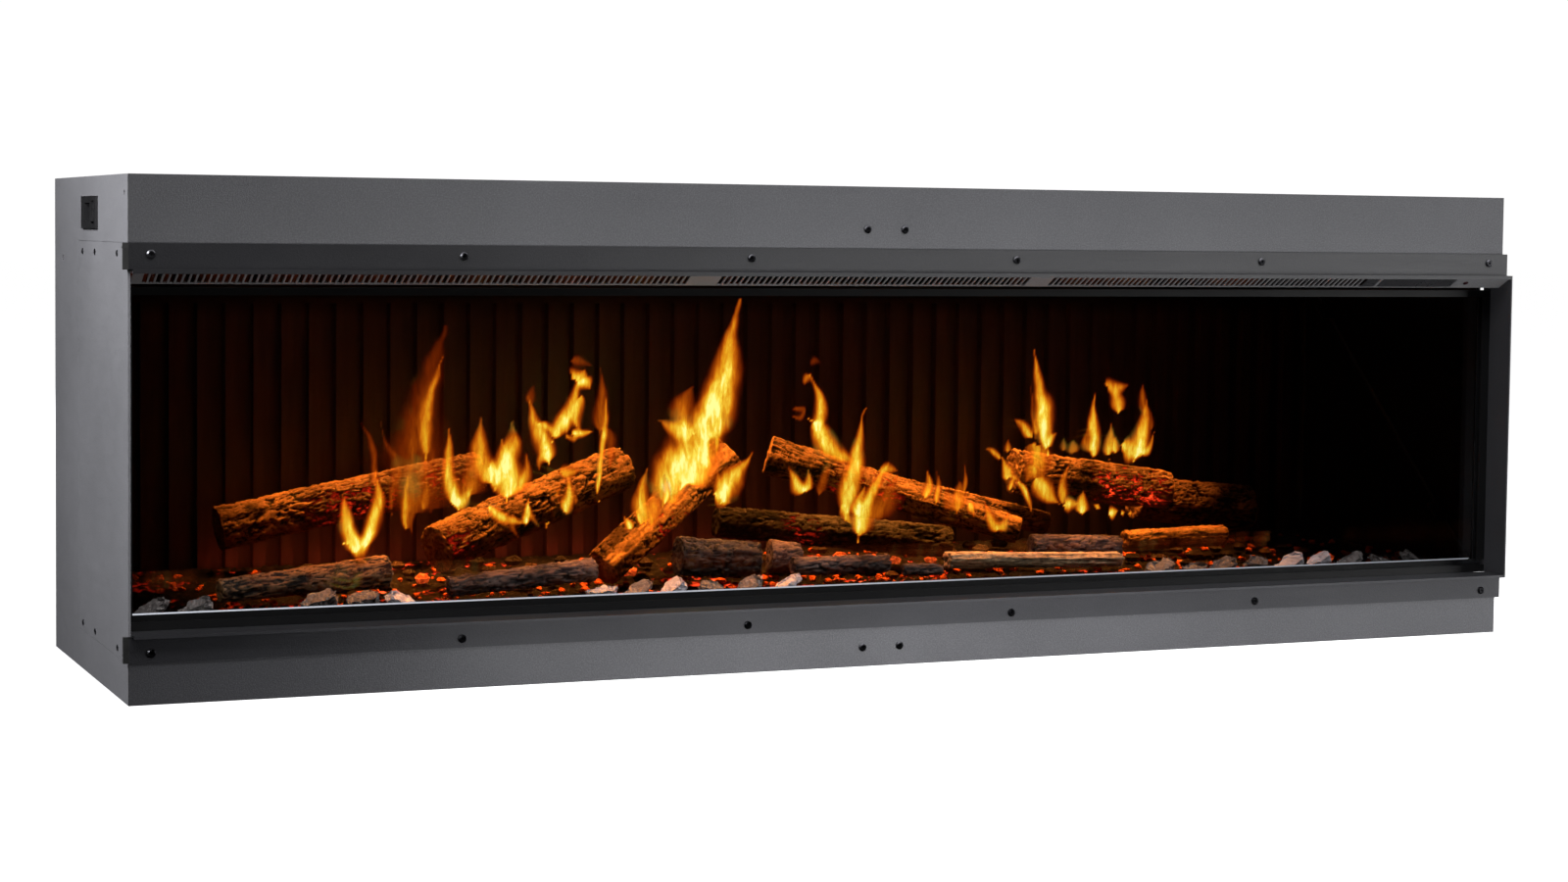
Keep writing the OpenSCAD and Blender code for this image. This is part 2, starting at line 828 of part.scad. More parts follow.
chip_count = 36;
chip_pitch = 40;
chip_corners = 7;
module slate_chips() {
    color([0.75, 0.74, 0.76]) from_face() for (i = [0:chip_count - 1]) {
        x = (i - chip_count / 2) * chip_pitch + 4 * chance(i, 4);
        r = 14 + 4 * chance(i, 9);
        y = 61 + 5 * chance(i, 2);
        z = bed_z + 0.8;
        tall = 5 + 5 * chance(i, 6);
        if (log_room([x, y, z + tall / 2]) > r) {
            translate([x, y, z]) rotate(15 * chance(i, 3)) linear_extrude(tall)
                polygon([for (k = [0:chip_corners - 1])
                    let (a = k * 360 / chip_corners, q = 0.8 + 0.2 * chance(i, k))
                    [r * q * cos(a), 0.6 * r * q * sin(a)]]);
        }
    }
}

// Rough log: rings of points around its middle line, flattened on a split side
function log_radius(log, t, a) =
    let (
        base = log[2] + (log[3] - log[2]) * t,
        rough = base * (0.9 + 0.1 * chance(a + log[6], round(t * 50))),
        off = cos(a - log[5])
    )
    (log[4] > 0 && off > 0.25) ? min(rough, base * (1 - log[4]) / off) : rough;

module log_piece(log) {
    run = log[1] - log[0];
    len = norm(run);
    along = run / len;
    side = cross(along, [0, 0, 1]) / norm(cross(along, [0, 0, 1]));
    up = cross(side, along);
    points = [
        for (k = [0:log_rings - 1], i = [0:log_sides - 1])
            let (t = k / (log_rings - 1), a = i * 360 / log_sides, r = log_radius(log, t, a))
            log_point(log, t) + side * (r * cos(a)) + up * (r * sin(a))
    ];
    walls = [
        for (k = [0:log_rings - 2], i = [0:log_sides - 1], h = [0, 1])
            let (
                a = k * log_sides + i,
                b = k * log_sides + (i + 1) % log_sides
            )
            h == 0 ? [a, b, a + log_sides] : [b, b + log_sides, a + log_sides]
    ];
    last = (log_rings - 1) * log_sides;
    caps = [
        for (i = [1:log_sides - 2], h = [0, 1])
            h == 0 ? [0, i + 1, i] : [last, last + i, last + i + 1]
    ];
    polyhedron(points = points, faces = concat(walls, caps));
}

module log_rear_left() {
    color([0.45, 0.28, 0.12]) from_face() log_piece(LOG_REAR_LEFT);
}

module log_centre_left() {
    color([0.35, 0.2, 0.12]) from_face() log_piece(LOG_CENTRE_LEFT);
}

module log_front_split() {
    color([0.6, 0.38, 0.15]) from_face() log_piece(LOG_FRONT_SPLIT);
}

module log_centre_split() {
    color([0.5, 0.3, 0.14]) from_face() log_piece(LOG_CENTRE_SPLIT);
}

module log_rear_centre() {
    color([0.5, 0.32, 0.12]) from_face() log_piece(LOG_REAR_CENTRE);
}

module log_charred_bar() {
    color([0.15, 0.1, 0.09]) from_face() log_piece(LOG_CHARRED_BAR);
}

module log_charred_knot() {
    color([0.22, 0.19, 0.17]) from_face() log_piece(LOG_CHARRED_KNOT);
}

module log_right_large() {
    color([0.3, 0.12, 0.1]) from_face() log_piece(LOG_RIGHT_LARGE);
}

module log_right_rear() {
    color([0.4, 0.2, 0.1]) from_face() log_piece(LOG_RIGHT_REAR);
}

module log_right_gold() {
    color([0.65, 0.42, 0.15]) from_face() log_piece(LOG_RIGHT_GOLD);
}

module log_front_board() {
    color([0.85, 0.68, 0.45]) from_face() log_piece(LOG_FRONT_BOARD);
}

module log_front_left() {
    color([0.3, 0.2, 0.14]) from_face() log_piece(LOG_FRONT_LEFT);
}

module log_splinters() {
    color([0.4, 0.3, 0.25]) from_face() for (log = SPLINTERS) {
        log_piece(log);
    }
}

/* ---- fan heater ---- */

// Rotor, its discs, blades and shaft: one moving piece
module blower_rotor() {
    x0 = heater_x - rotor_len / 2;
    x1 = heater_x + rotor_len / 2;
    color([0.7, 0.7, 0.72]) from_face() {
        bar_x(x0 - 8, x1 + motor_len + 4, rotor_y, rotor_z, shaft_r);
        for (x = [x0, heater_x - disc_t / 2, x1 - disc_t]) {
            bar_x(x, x + disc_t, rotor_y, rotor_z, rotor_r);
        }
        for (i = [0:blade_count - 1]) {
            translate([x0, rotor_y, rotor_z]) rotate([i * 360 / blade_count, 0, 0])
                translate([0, rotor_r - blade_deep - 0.5, -blade_t / 2])
                    cube([rotor_len, blade_deep, blade_t]);
        }
    }
}

// End plate with a bearing hole, at a place along X
module blower_end(x) {
    difference() {
        block([x, end_plate_y[0], deck_z + sheet], [x + end_plate_t, end_plate_y[1], cover_z]);
        bar_x(x - through, x + end_plate_t + through, rotor_y, rotor_z, bearing_r);
    }
}

module blower_housing() {
    x0 = heater_x - rotor_len / 2 - 4;
    x1 = heater_x + rotor_len / 2 + 2;
    wall_r = rotor_r + 5;
    wall_t = 1.2;
    color([0.6, 0.6, 0.6]) from_face() {
        blower_end(x0);
        blower_end(x1);
        along_x(x0 + end_plate_t, x1) difference() {
            translate([rotor_y, rotor_z]) circle(r = wall_r + wall_t);
            translate([rotor_y, rotor_z]) circle(r = wall_r);
            translate([0, 380]) square([rotor_y + 6, 120]);
            translate([rotor_y, rotor_z - 40]) square([40, 26]);
        }
    }
}

module blower_motor() {
    x = heater_x + rotor_len / 2 + 5;
    color([0.35, 0.35, 0.37]) from_face() difference() {
        union() {
            bar_x(x, x + motor_len, rotor_y, rotor_z, motor_r);
            block([x + 8, rotor_y - 20, deck_z + sheet], [x + 26, rotor_y + 20, rotor_z]);
        }
        bar_x(x - through, x + motor_len + through, rotor_y, rotor_z, shaft_r + bearing_clear);
    }
}

// Plain bearing in the far end plate
module blower_bearing() {
    x = heater_x - rotor_len / 2 - 5;
    color([0.7, 0.55, 0.25]) from_face() difference() {
        union() {
            bar_x(x - 1.5, x + 3.5, rotor_y, rotor_z, bearing_r - 0.1);
            bar_x(x - 1.5, x + 0.5, rotor_y, rotor_z, 9);
        }
        bar_x(x - 3, x + 5, rotor_y, rotor_z, shaft_r + bearing_clear);
    }
}

// Folded resistance ribbon between two insulating rails
module heating_element() {
    half = 144;
    front = 34;
    back = 54;
    rail_t = 3;
    low = 421;
    high = 471;
    folds = 35;
    step = 280 / folds;
    ribbon_h = 6;
    color([0.8, 0.5, 0.35]) from_face() {
        for (z = [low, high - rail_t]) {
            block([heater_x - half, front, z], [heater_x + half, back, z + rail_t]);
        }
        for (x = [heater_x - half, heater_x + half - rail_t]) {
            block([x, front, low + 1], [x + rail_t, back, high - 1]);
        }
        for (z = [430, 446, 462]) {
            translate([heater_x - half + 2, (front + back) / 2, z])
                linear_extrude(ribbon_h, center = true) polygon(concat(
                    [for (i = [0:folds]) [i * step, i % 2 == 0 ? -7 : 5]],
                    [for (i = [folds:-1:0]) [i * step, i % 2 == 0 ? -5 : 7]]
                ));
        }
    }
}

module thermal_cutout() {
    color([0.75, 0.75, 0.7]) from_face() {
        translate([heater_x + 60, 45, 473.4]) cylinder(h = 3.6, r = 7);
        block([heater_x + 49, 38, 472.4], [heater_x + 71, 52, 473.5]);
    }
}

// Duct that turns the warm air down behind the fascia to the grille
module outlet_duct() {
    x0 = heater_x - 148;
    x1 = heater_x + 148;
    wall = 1;
    front = 3;
    inner = 21;
    back = end_plate_y[0] - wall;
    low = 387;
    turn_z = 416;
    top = 472.2;
    color([0.55, 0.55, 0.57]) from_face() {
        along_x(x0, x1) polygon([
            [front, low], [front, top], [back, top], [back, top - wall],
            [front + wall, top - wall], [front + wall, low]
        ]);
        along_x(x0, x1) polygon([
            [inner, low - 3], [inner, turn_z + wall], [back, turn_z + wall], [back, turn_z],
            [inner + wall, turn_z], [inner + wall, low - 3]
        ]);
        for (x = [x0, x1 - wall]) {
            block([x, front + wall - eps, low], [x + wall, inner + eps, top - wall + 0.1]);
            block([x, inner - wall, turn_z + 0.9], [x + wall, back, top - wall + 0.1]);
        }
    }
}

/* ---- electrics ---- */

module control_board() {
    low = [560, 60, deck_z + 8];
    high = [700, 160, deck_z + 9.6];
    top = high[2] - 0.1;
    post_in = 8;
    relay = [26, 22, 15.5];
    capacitor_h = 18;
    color([0.1, 0.35, 0.2]) from_face() {
        block(low, high);
        for (x = [low[0] + post_in, high[0] - post_in], y = [low[1] + post_in, high[1] - post_in]) {
            translate([x, y, deck_z + sheet]) cylinder(h = 8, r = 3);
        }
        for (x = [580, 614]) {
            translate([x, 80, top]) cube(relay);
        }
        translate([655, 84, top]) cube([30, 30, 2.5]);
        for (x = [585, 603, 621]) {
            translate([x, 134, top]) cylinder(h = capacitor_h, r = 6);
        }
    }
}

module power_supply() {
    low = [-690, 250, deck_z + sheet];
    high = [-500, 350, deck_z + sheet + 42];
    wall = [sheet, sheet, sheet];
    vents = 12;
    color([0.65, 0.66, 0.68]) from_face() difference() {
        block(low, high);
        block(low + wall, high - wall);
        for (i = [0:vents - 1]) {
            x = low[0] + 20 + i * 13;
            block([x - 2, low[1] + 20, high[2] - 4], [x + 2, high[1] - 20, high[2] + through]);
        }
    }
}

// Moulded inlet: bezel, body, connector recess and the pocket of the rocker
module power_inlet() {
    outer = -half_w;
    color([0.03, 0.03, 0.03]) from_face() difference() {
        union() {
            block(
                [outer - 2.4, inlet_y - inlet_w / 2, inlet_z - inlet_h / 2],
                [outer, inlet_y + inlet_w / 2, inlet_z + inlet_h / 2]
            );
            block(
                [outer - 1, inlet_y - inlet_body / 2, inlet_z - inlet_body_h / 2],
                [outer + inlet_deep, inlet_y + inlet_body / 2, inlet_z + inlet_body_h / 2]
            );
        }
        block([outer - 5, socket_y[0], inlet_z - 9], [outer + 18, socket_y[1], inlet_z + 9]);
        block([outer - 5, rocker_y - 8, inlet_z - 11], [outer + 14, rocker_y + 8, inlet_z + 11]);
        translate([rocker_pivot_x, rocker_y - 11, inlet_z]) rotate([-90, 0, 0])
            cylinder(h = 22, r = rocker_pin_r + bearing_clear);
    }
}

module inlet_pins() {
    x = -half_w;
    color([0.85, 0.75, 0.45]) from_face() for (p = pin_places) {
        block([x + 8, p[0] - 1, inlet_z + p[1] - 2], [x + 18, p[0] + 1, inlet_z + p[1] + 2]);
    }
}

// Two-way rocker on a moulded cross pin, resting with its upper half pressed in
module rocker_switch() {
    color([0.08, 0.08, 0.08]) from_face() translate([rocker_pivot_x, rocker_y, inlet_z]) {
        rotate([-90, 0, 0]) translate([0, 0, -10.5]) cylinder(h = 21, r = rocker_pin_r);
        rotate([0, rocker_tilt, 0]) translate([0, 7.6, 0]) rotate([90, 0, 0]) linear_extrude(15.2)
            polygon([[-4, -9.6], [-3, 0], [-4, 9.6], [2, 9], [5, 3], [5, -3], [2, -9]]);
    }
}

/* ---- screws ---- */

// Round-headed screw with a hexagon socket, drawn along its own +Z
module face_screw(shank, head_r = screw_head_r, head_t = screw_head_t) {
    difference() {
        union() {
            cylinder(h = head_t / 2, r = head_r);
            translate([0, 0, head_t / 2]) cylinder(h = head_t / 2, r1 = head_r, r2 = head_r * 0.7);
            translate([0, 0, -shank]) cylinder(h = shank + eps, r = screw_shank_r);
        }
        translate([0, 0, head_t * 0.35]) cylinder(h = head_t, r = head_r * 0.35, $fn = 6);
    }
}

module screws() {
    color([0.35, 0.35, 0.37]) from_face() {
        for (x = trim_screws(), z = [strip_screw_low_z, strip_screw_top_z]) {
            translate([x, -strip_t, z]) rotate([90, 0, 0]) face_screw(strip_t + sheet + 1);
        }
        for (x = [-bracket_screw_x, bracket_screw_x], z = [bracket_low_z, bracket_top_z]) {
            translate([x, 0, z]) rotate([90, 0, 0]) face_screw(sheet + 1);
        }
        for (side = [-1, 1], p = cover_screws()) {
            translate([side * half_w, p[0], p[1]]) rotate([0, side * 90, 0])
                face_screw(6, 3, 1);
        }
        for (p = rear_screws()) {
            translate([p[0], body_d - rear_screw_sink, p[1]]) rotate([-90, 0, 0])
                face_screw(4, 3.5, 1.8);
        }
    }
}

base_pan();
top_panel();
rear_panel();
left_side_panel();
right_side_panel();
left_window_cover();
right_window_cover();
top_fascia();
bottom_fascia();
top_trim();
bottom_trim();
right_trim();
trim_end_caps();
outlet_grille();
touch_panel();
control_insert();
remote_lens();
glass_top_bar();
glass_bottom_channel();
glass_side_channels();
front_glass();
glass_seal();
mirror_glass();
mirror_clips();
flame_display();
deck_panel();
fluted_liner();
side_liners();
fuel_tray();
tray_supports();
ember_bed();
ember_light_strips();
ember_coals();
slate_chips();
log_rear_left();
log_centre_left();
log_front_split();
log_centre_split();
log_rear_centre();
log_charred_bar();
log_charred_knot();
log_right_large();
log_right_rear();
log_right_gold();
log_front_board();
log_front_left();
log_splinters();
blower_rotor();
blower_housing();
blower_motor();
blower_bearing();
heating_element();
thermal_cutout();
outlet_duct();
control_board();
power_supply();
power_inlet();
inlet_pins();
rocker_switch();
screws();
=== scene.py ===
import math
import random

import bmesh
import bpy
import numpy as np
from mathutils import Matrix, Vector, noise
from mathutils.bvhtree import BVHTree


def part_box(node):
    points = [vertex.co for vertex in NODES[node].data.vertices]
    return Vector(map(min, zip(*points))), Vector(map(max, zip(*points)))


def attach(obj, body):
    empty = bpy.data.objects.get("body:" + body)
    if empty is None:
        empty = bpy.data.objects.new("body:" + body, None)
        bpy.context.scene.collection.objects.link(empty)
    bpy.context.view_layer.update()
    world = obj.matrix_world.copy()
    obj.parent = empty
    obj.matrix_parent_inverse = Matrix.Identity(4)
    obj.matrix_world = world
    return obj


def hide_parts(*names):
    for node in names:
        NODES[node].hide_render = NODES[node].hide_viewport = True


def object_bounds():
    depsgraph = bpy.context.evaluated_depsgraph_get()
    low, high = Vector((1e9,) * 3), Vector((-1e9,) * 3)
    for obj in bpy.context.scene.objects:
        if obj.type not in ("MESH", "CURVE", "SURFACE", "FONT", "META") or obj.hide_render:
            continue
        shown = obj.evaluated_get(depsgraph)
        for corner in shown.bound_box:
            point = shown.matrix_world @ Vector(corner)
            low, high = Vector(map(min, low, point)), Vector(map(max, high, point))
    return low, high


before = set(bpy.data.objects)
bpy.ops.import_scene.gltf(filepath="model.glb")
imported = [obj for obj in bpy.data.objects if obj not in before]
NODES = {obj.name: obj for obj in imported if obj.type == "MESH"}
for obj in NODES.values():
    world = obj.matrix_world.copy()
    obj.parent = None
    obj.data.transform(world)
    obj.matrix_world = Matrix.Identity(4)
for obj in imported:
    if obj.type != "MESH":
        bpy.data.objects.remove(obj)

SCENE = bpy.context.scene
MM = 0.001
CAD_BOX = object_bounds()


# ---------------------------------------------------------------- camera

LENS_MM = 66.34
CAMERA_SPOT = (-1.2354, -2.8027, 0.4365)
CAMERA_YAW = 23.341
CAMERA_PITCH = -3.097
CAMERA_ROLL = 0.645
CAMERA_SHIFT_Y = -0.0352


def make_camera():
    """The camera, turned from +Y towards +X by its yaw and then tipped and rolled."""
    yaw, pitch, roll = (math.radians(a) for a in (CAMERA_YAW, CAMERA_PITCH, CAMERA_ROLL))
    right = Vector((math.cos(yaw), -math.sin(yaw), 0))
    ahead = Vector((math.sin(yaw) * math.cos(pitch), math.cos(yaw) * math.cos(pitch), math.sin(pitch)))
    up = right.cross(ahead)
    across = math.cos(roll) * right + math.sin(roll) * up
    upward = math.cos(roll) * up - math.sin(roll) * right
    data = bpy.data.cameras.new("camera")
    data.lens = LENS_MM
    data.sensor_width = 36
    data.shift_y = CAMERA_SHIFT_Y
    camera = bpy.data.objects.new("camera", data)
    SCENE.collection.objects.link(camera)
    turn = Matrix((across, upward, -ahead)).transposed()
    camera.matrix_world = Matrix.Translation(CAMERA_SPOT) @ turn.to_4x4()
    SCENE.camera = camera


# ---------------------------------------------------------------- shader helpers

class Shader:
    """One material's nodes, with short calls for the kinds used below."""

    def __init__(self, name):
        self.material = bpy.data.materials.new(name)
        self.material.use_nodes = True
        self.tree = self.material.node_tree
        self.tree.nodes.clear()
        self.output = self.node("ShaderNodeOutputMaterial")
        self.surface = self.node("ShaderNodeBsdfPrincipled")
        self.join(self.surface.outputs[0], self.output.inputs["Surface"])
        self.place = self.node("ShaderNodeTexCoord").outputs["Object"]

    def node(self, kind, **settings):
        made = self.tree.nodes.new(kind)
        for key, value in settings.items():
            setattr(made, key, value)
        return made

    def join(self, source, target):
        self.tree.links.new(source, target)

    def feed(self, socket, value):
        """Links an output to the socket, or sets a plain value on it."""
        if isinstance(value, bpy.types.NodeSocket):
            self.join(value, socket)
        else:
            socket.default_value = value

    def set(self, **values):
        """Sets or links the surface's own inputs, with _ for the spaces in their names."""
        for key, value in values.items():
            self.feed(self.surface.inputs[key.replace("_", " ")], value)
        return self

    def stretch(self, scale, turn=(0, 0, 0), source=None):
        """Texture coordinates scaled by three factors."""
        mapping = self.node("ShaderNodeMapping")
        self.join(source or self.place, mapping.inputs["Vector"])
        mapping.inputs["Scale"].default_value = scale
        mapping.inputs["Rotation"].default_value = turn
        return mapping.outputs[0]

    def noise(self, scale, detail=3, rough=0.55, source=None, warp=0):
        made = self.node("ShaderNodeTexNoise")
        self.join(source or self.place, made.inputs["Vector"])
        made.inputs["Scale"].default_value = scale
        made.inputs["Detail"].default_value = detail
        made.inputs["Roughness"].default_value = rough
        made.inputs["Distortion"].default_value = warp
        return made.outputs["Fac"]

    def cells(self, scale, feature="F1", source=None, output="Distance"):
        made = self.node("ShaderNodeTexVoronoi", feature=feature)
        self.join(source or self.place, made.inputs["Vector"])
        made.inputs["Scale"].default_value = scale
        return made.outputs[output]

    def ramp(self, fac, stops):
        made = self.node("ShaderNodeValToRGB")
        self.join(fac, made.inputs["Fac"])
        points = made.color_ramp.elements
        while len(points) < len(stops):
            points.new(0.5)
        for point, (at, colour) in zip(points, stops):
            point.position = at
            if not hasattr(colour, "__len__"):
                colour = (colour,) * 3
            point.color = (*colour, 1)
        return made.outputs["Color"]

    def math(self, operation, a, b=0.0, clamp=False):
        made = self.node("ShaderNodeMath", operation=operation, use_clamp=clamp)
        self.feed(made.inputs[0], a)
        self.feed(made.inputs[1], b)
        return made.outputs[0]

    def remap(self, fac, low, high, to_low=0.0, to_high=1.0):
        made = self.node("ShaderNodeMapRange")
        self.feed(made.inputs["Value"], fac)
        for key, value in zip(("From Min", "From Max", "To Min", "To Max"), (low, high, to_low, to_high)):
            made.inputs[key].default_value = value
        return made.outputs[0]

    def mix(self, fac, a, b, blend="MIX"):
        made = self.node("ShaderNodeMix", data_type="RGBA", blend_type=blend)
        self.feed(made.inputs[0], fac)
        for index, value in ((6, a), (7, b)):
            if not isinstance(value, bpy.types.NodeSocket):
                value = (*value, 1)
            self.feed(made.inputs[index], value)
        return made.outputs[2]

    def bump(self, height, strength, distance, under=None):
        made = self.node("ShaderNodeBump")
        made.inputs["Strength"].default_value = strength
        made.inputs["Distance"].default_value = distance
        self.join(height, made.inputs["Height"])
        if under is not None:
            self.join(under, made.inputs["Normal"])
        return made.outputs[0]

    def attribute(self, name):
        return self.node("ShaderNodeAttribute", attribute_name=name).outputs["Fac"]

    def part_of_place(self, axis):
        split = self.node("ShaderNodeSeparateXYZ")
        self.join(self.place, split.inputs[0])
        return split.outputs[axis]


def tint(colour, factor):
    return tuple(min(1.0, c * factor) for c in colour)


# ---------------------------------------------------------------- materials

def powder_coat(name, colour, rough=0.42, grain=0.35, specular=0.5):
    """Fine-textured powder coating: a speckled grain, broad cloudiness and a few rubbed marks."""
    s = Shader(name)
    grit = s.noise(700, 3, 0.7)
    cloud = s.noise(5, 3, 0.6)
    rub = s.noise(26, 4, 0.65, source=s.stretch((0.25, 1, 3)))
    base = s.mix(s.remap(cloud, 0.3, 0.7), tint(colour, 0.88), tint(colour, 1.12))
    base = s.mix(s.remap(grit, 0.42, 0.78, 0, grain), base, tint(colour, 2.6))
    base = s.mix(s.remap(rub, 0.66, 0.8, 0, 0.25), base, tint(colour, 1.8))
    worn = s.remap(rub, 0.4, 0.8, rough + 0.05, rough - 0.06)
    return s.set(
        Base_Color=base, Roughness=worn, Specular_IOR_Level=specular,
        Normal=s.bump(grit, 0.45, 0.0006),
    ).material


def galvanised(name, colour=(0.45, 0.46, 0.47)):
    """Zinc-coated sheet with its spangle, and dull handling marks."""
    s = Shader(name)
    spangle = s.cells(90, output="Color")
    smear = s.noise(14, 4, 0.6)
    grey = s.math("MULTIPLY", spangle, 1.0)
    base = s.mix(s.remap(grey, 0, 1, 0.0, 1.0), tint(colour, 0.78), tint(colour, 1.2))
    base = s.mix(s.remap(smear, 0.45, 0.75, 0, 0.4), base, tint(colour, 0.6))
    return s.set(
        Base_Color=base, Metallic=0.85,
        Roughness=s.remap(smear, 0.3, 0.7, 0.3, 0.5),
        Normal=s.bump(s.noise(600, 2), 0.15, 0.0002),
    ).material


def brushed(name, colour, along=(1, 40, 40), rough=0.3, metallic=1.0):
    """Drawn or brushed metal, with fine lines one way and light tarnish."""
    s = Shader(name)
    lines = s.noise(30, 4, 0.7, source=s.stretch(along))
    tarnish = s.noise(35, 3, 0.6)
    base = s.mix(s.remap(lines, 0.3, 0.7), tint(colour, 0.75), tint(colour, 1.15))
    base = s.mix(s.remap(tarnish, 0.5, 0.75, 0, 0.5), base, tint(colour, 0.45))
    return s.set(
        Base_Color=base, Metallic=metallic,
        Roughness=s.remap(lines, 0.3, 0.7, rough - 0.08, rough + 0.12),
        Normal=s.bump(lines, 0.2, 0.0001),
    ).material


def moulded(name, colour, rough=0.35, coat=0.0):
    """Moulded plastic with a spark-eroded grain, faint flow marks and scuffs."""
    s = Shader(name)
    grain = s.noise(1800, 2, 0.5)
    flow = s.noise(40, 3, 0.6, warp=0.6)
    scuff = s.noise(160, 4, 0.7, source=s.stretch((1, 0.2, 1)))
    base = s.mix(s.remap(flow, 0.3, 0.7), tint(colour, 0.85), tint(colour, 1.15))
    base = s.mix(s.remap(scuff, 0.64, 0.8, 0, 0.3), base, tint(colour, 3))
    return s.set(
        Base_Color=base, Roughness=s.remap(scuff, 0.35, 0.75, rough, rough + 0.18),
        Coat_Weight=coat, Normal=s.bump(grain, 0.2, 0.0001),
    ).material


def liner_paint():
    """Satin dark brown sheet of the chamber's back, sooty towards the floor, with painted shade: near black along its
    top, under the deck.
    """
    s = Shader("liner_paint")
    low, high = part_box("fluted_liner")
    height = s.remap(s.part_of_place(2), low.z, high.z)
    streak = s.noise(22, 4, 0.6, source=s.stretch((6, 6, 0.6)))
    soot = s.noise(9, 4, 0.65)
    base = s.mix(s.remap(streak, 0.3, 0.7), (0.03, 0.017, 0.014), (0.055, 0.03, 0.024))
    base = s.mix(s.remap(soot, 0.5, 0.8, 0, 0.5), base, (0.016, 0.01, 0.009))
    # Painted shade: the top of the sheet, under the deck, turns near black.
    base = s.mix(s.remap(height, 0.86, 0.93), base, (0.001, 0.001, 0.001))
    rough = s.math("ADD", s.remap(streak, 0.3, 0.7, 0.3, 0.44), s.remap(height, 0, 1, 0.08, 0.0))
    return s.set(Base_Color=base, Roughness=rough, Normal=s.bump(streak, 0.1, 0.0004)).material


def pane_glass(name, mirror, tint_colour, across, highlight_edge, edge_highlight):
    """A clear pane: it passes most light and mirrors a little, and more towards its lower corner at high X, where a
    painted reflection is added to fine dust. across is the direction its faces look in; the ground edge that looks the
    way the next argument points shows pale and carries a painted highlight, brightest at the low X end, whose strength
    the last argument gives."""
    s = Shader(name)
    normal = s.node("ShaderNodeNewGeometry").outputs["True Normal"]

    def towards(direction):
        facing = s.node("ShaderNodeVectorMath", operation="DOT_PRODUCT")
        s.join(normal, facing.inputs[0])
        facing.inputs[1].default_value = direction
        return facing.outputs["Value"]

    is_edge = s.math("LESS_THAN", s.math("ABSOLUTE", towards(across)), 0.5)
    is_highlight_edge = s.math("GREATER_THAN", towards(highlight_edge), 0.5)
    grazing = s.node("ShaderNodeLayerWeight")
    grazing.inputs["Blend"].default_value = 0.5
    glance = s.math("POWER", grazing.outputs["Facing"], 5.0)
    sheen = s.math("MULTIPLY", s.math("ADD", glance, 0.04), mirror)
    # Fine random dust, and towards the lower corner at high X a painted reflection: the pane mirrors more there.
    dust_and_reflection = s.remap(s.noise(30, 4, 0.7), 0.5, 0.9, 0, 0.008)
    low, high = CAD_BOX
    corner = s.math(
        "MULTIPLY", s.remap(s.part_of_place(0), 0.42 * high.x, 0.95 * high.x),
        s.remap(s.part_of_place(2), 0.7 * high.z, 0.3 * high.z),
    )
    dust_and_reflection = s.math("ADD", dust_and_reflection, s.math("MULTIPLY", corner, 0.06))
    alpha = s.math("ADD", sheen, dust_and_reflection)
    alpha = s.math("MAXIMUM", alpha, s.math("MULTIPLY", is_edge, 0.35))
    # Painted highlight: the ground edge that faces the given way turns solid and pale.
    alpha = s.math("MAXIMUM", alpha, is_highlight_edge, clamp=True)
    ground = s.noise(700, 2)
    base = s.mix(is_edge, tint_colour, (0.12, 0.16, 0.16))
    base = s.mix(is_highlight_edge, base, (0.85, 0.9, 1.0))
    # The painted highlight also glows, brightest at the low X end and fading towards high X.
    highlight_fade = s.math("MULTIPLY", is_highlight_edge, s.remap(s.part_of_place(0), CAD_BOX[0].x, CAD_BOX[1].x, 1.3, 0.5))
    glow = s.math("MULTIPLY", highlight_fade, s.remap(ground, 0.2, 0.8, edge_highlight * 0.7, edge_highlight * 1.2))
    return s.set(
        Base_Color=base, Alpha=alpha, Roughness=s.remap(is_edge, 0, 1, 0.03, 0.4),
        Metallic=s.remap(is_edge, 0, 1, 1, 0),
        Emission_Color=(0.85, 0.9, 1.0, 1), Emission_Strength=glow,
    ).material


def display_face():
    """The flame display: a black bezel, and a screen whose picture is warm moving streaks."""
    s = Shader("screen_plastic")
    low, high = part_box("flame_display")
    down = s.remap(s.part_of_place(2), low.z, low.z + 2 * MM, 1, 0)
    inside_x = s.math("LESS_THAN", s.math("ABSOLUTE", s.part_of_place(0)), high.x - 12 * MM)
    streak = s.noise(9, 5, 0.65, source=s.stretch((3, 0.5, 1)), warp=0.8)
    picture = s.ramp(streak, [(0.45, (0.0, 0.0, 0.0)), (0.58, (0.7, 0.1, 0.01)), (0.72, (1.0, 0.55, 0.12))])
    lit = s.math("MULTIPLY", s.math("MULTIPLY", down, inside_x), 0.6)
    return s.set(
        Base_Color=s.mix(s.remap(s.noise(40), 0.3, 0.7), (0.008, 0.008, 0.009), (0.016, 0.016, 0.018)),
        Roughness=s.remap(s.noise(300), 0.3, 0.7, 0.18, 0.34),
        Normal=s.bump(s.noise(1500), 0.1, 0.0001),
        Emission_Color=picture, Emission_Strength=lit,
    ).material


def circuit_board():
    s = Shader("circuit_board")
    tracks = s.cells(260, feature="DISTANCE_TO_EDGE")
    base = s.mix(s.remap(tracks, 0.05, 0.12), (0.05, 0.26, 0.1), (0.015, 0.1, 0.045))
    base = s.mix(s.remap(s.noise(60), 0.55, 0.75, 0, 0.5), base, (0.02, 0.05, 0.03))
    return s.set(
        Base_Color=base, Roughness=s.remap(s.noise(200), 0.3, 0.7, 0.3, 0.5),
        Normal=s.bump(tracks, 0.3, 0.0002),
    ).material


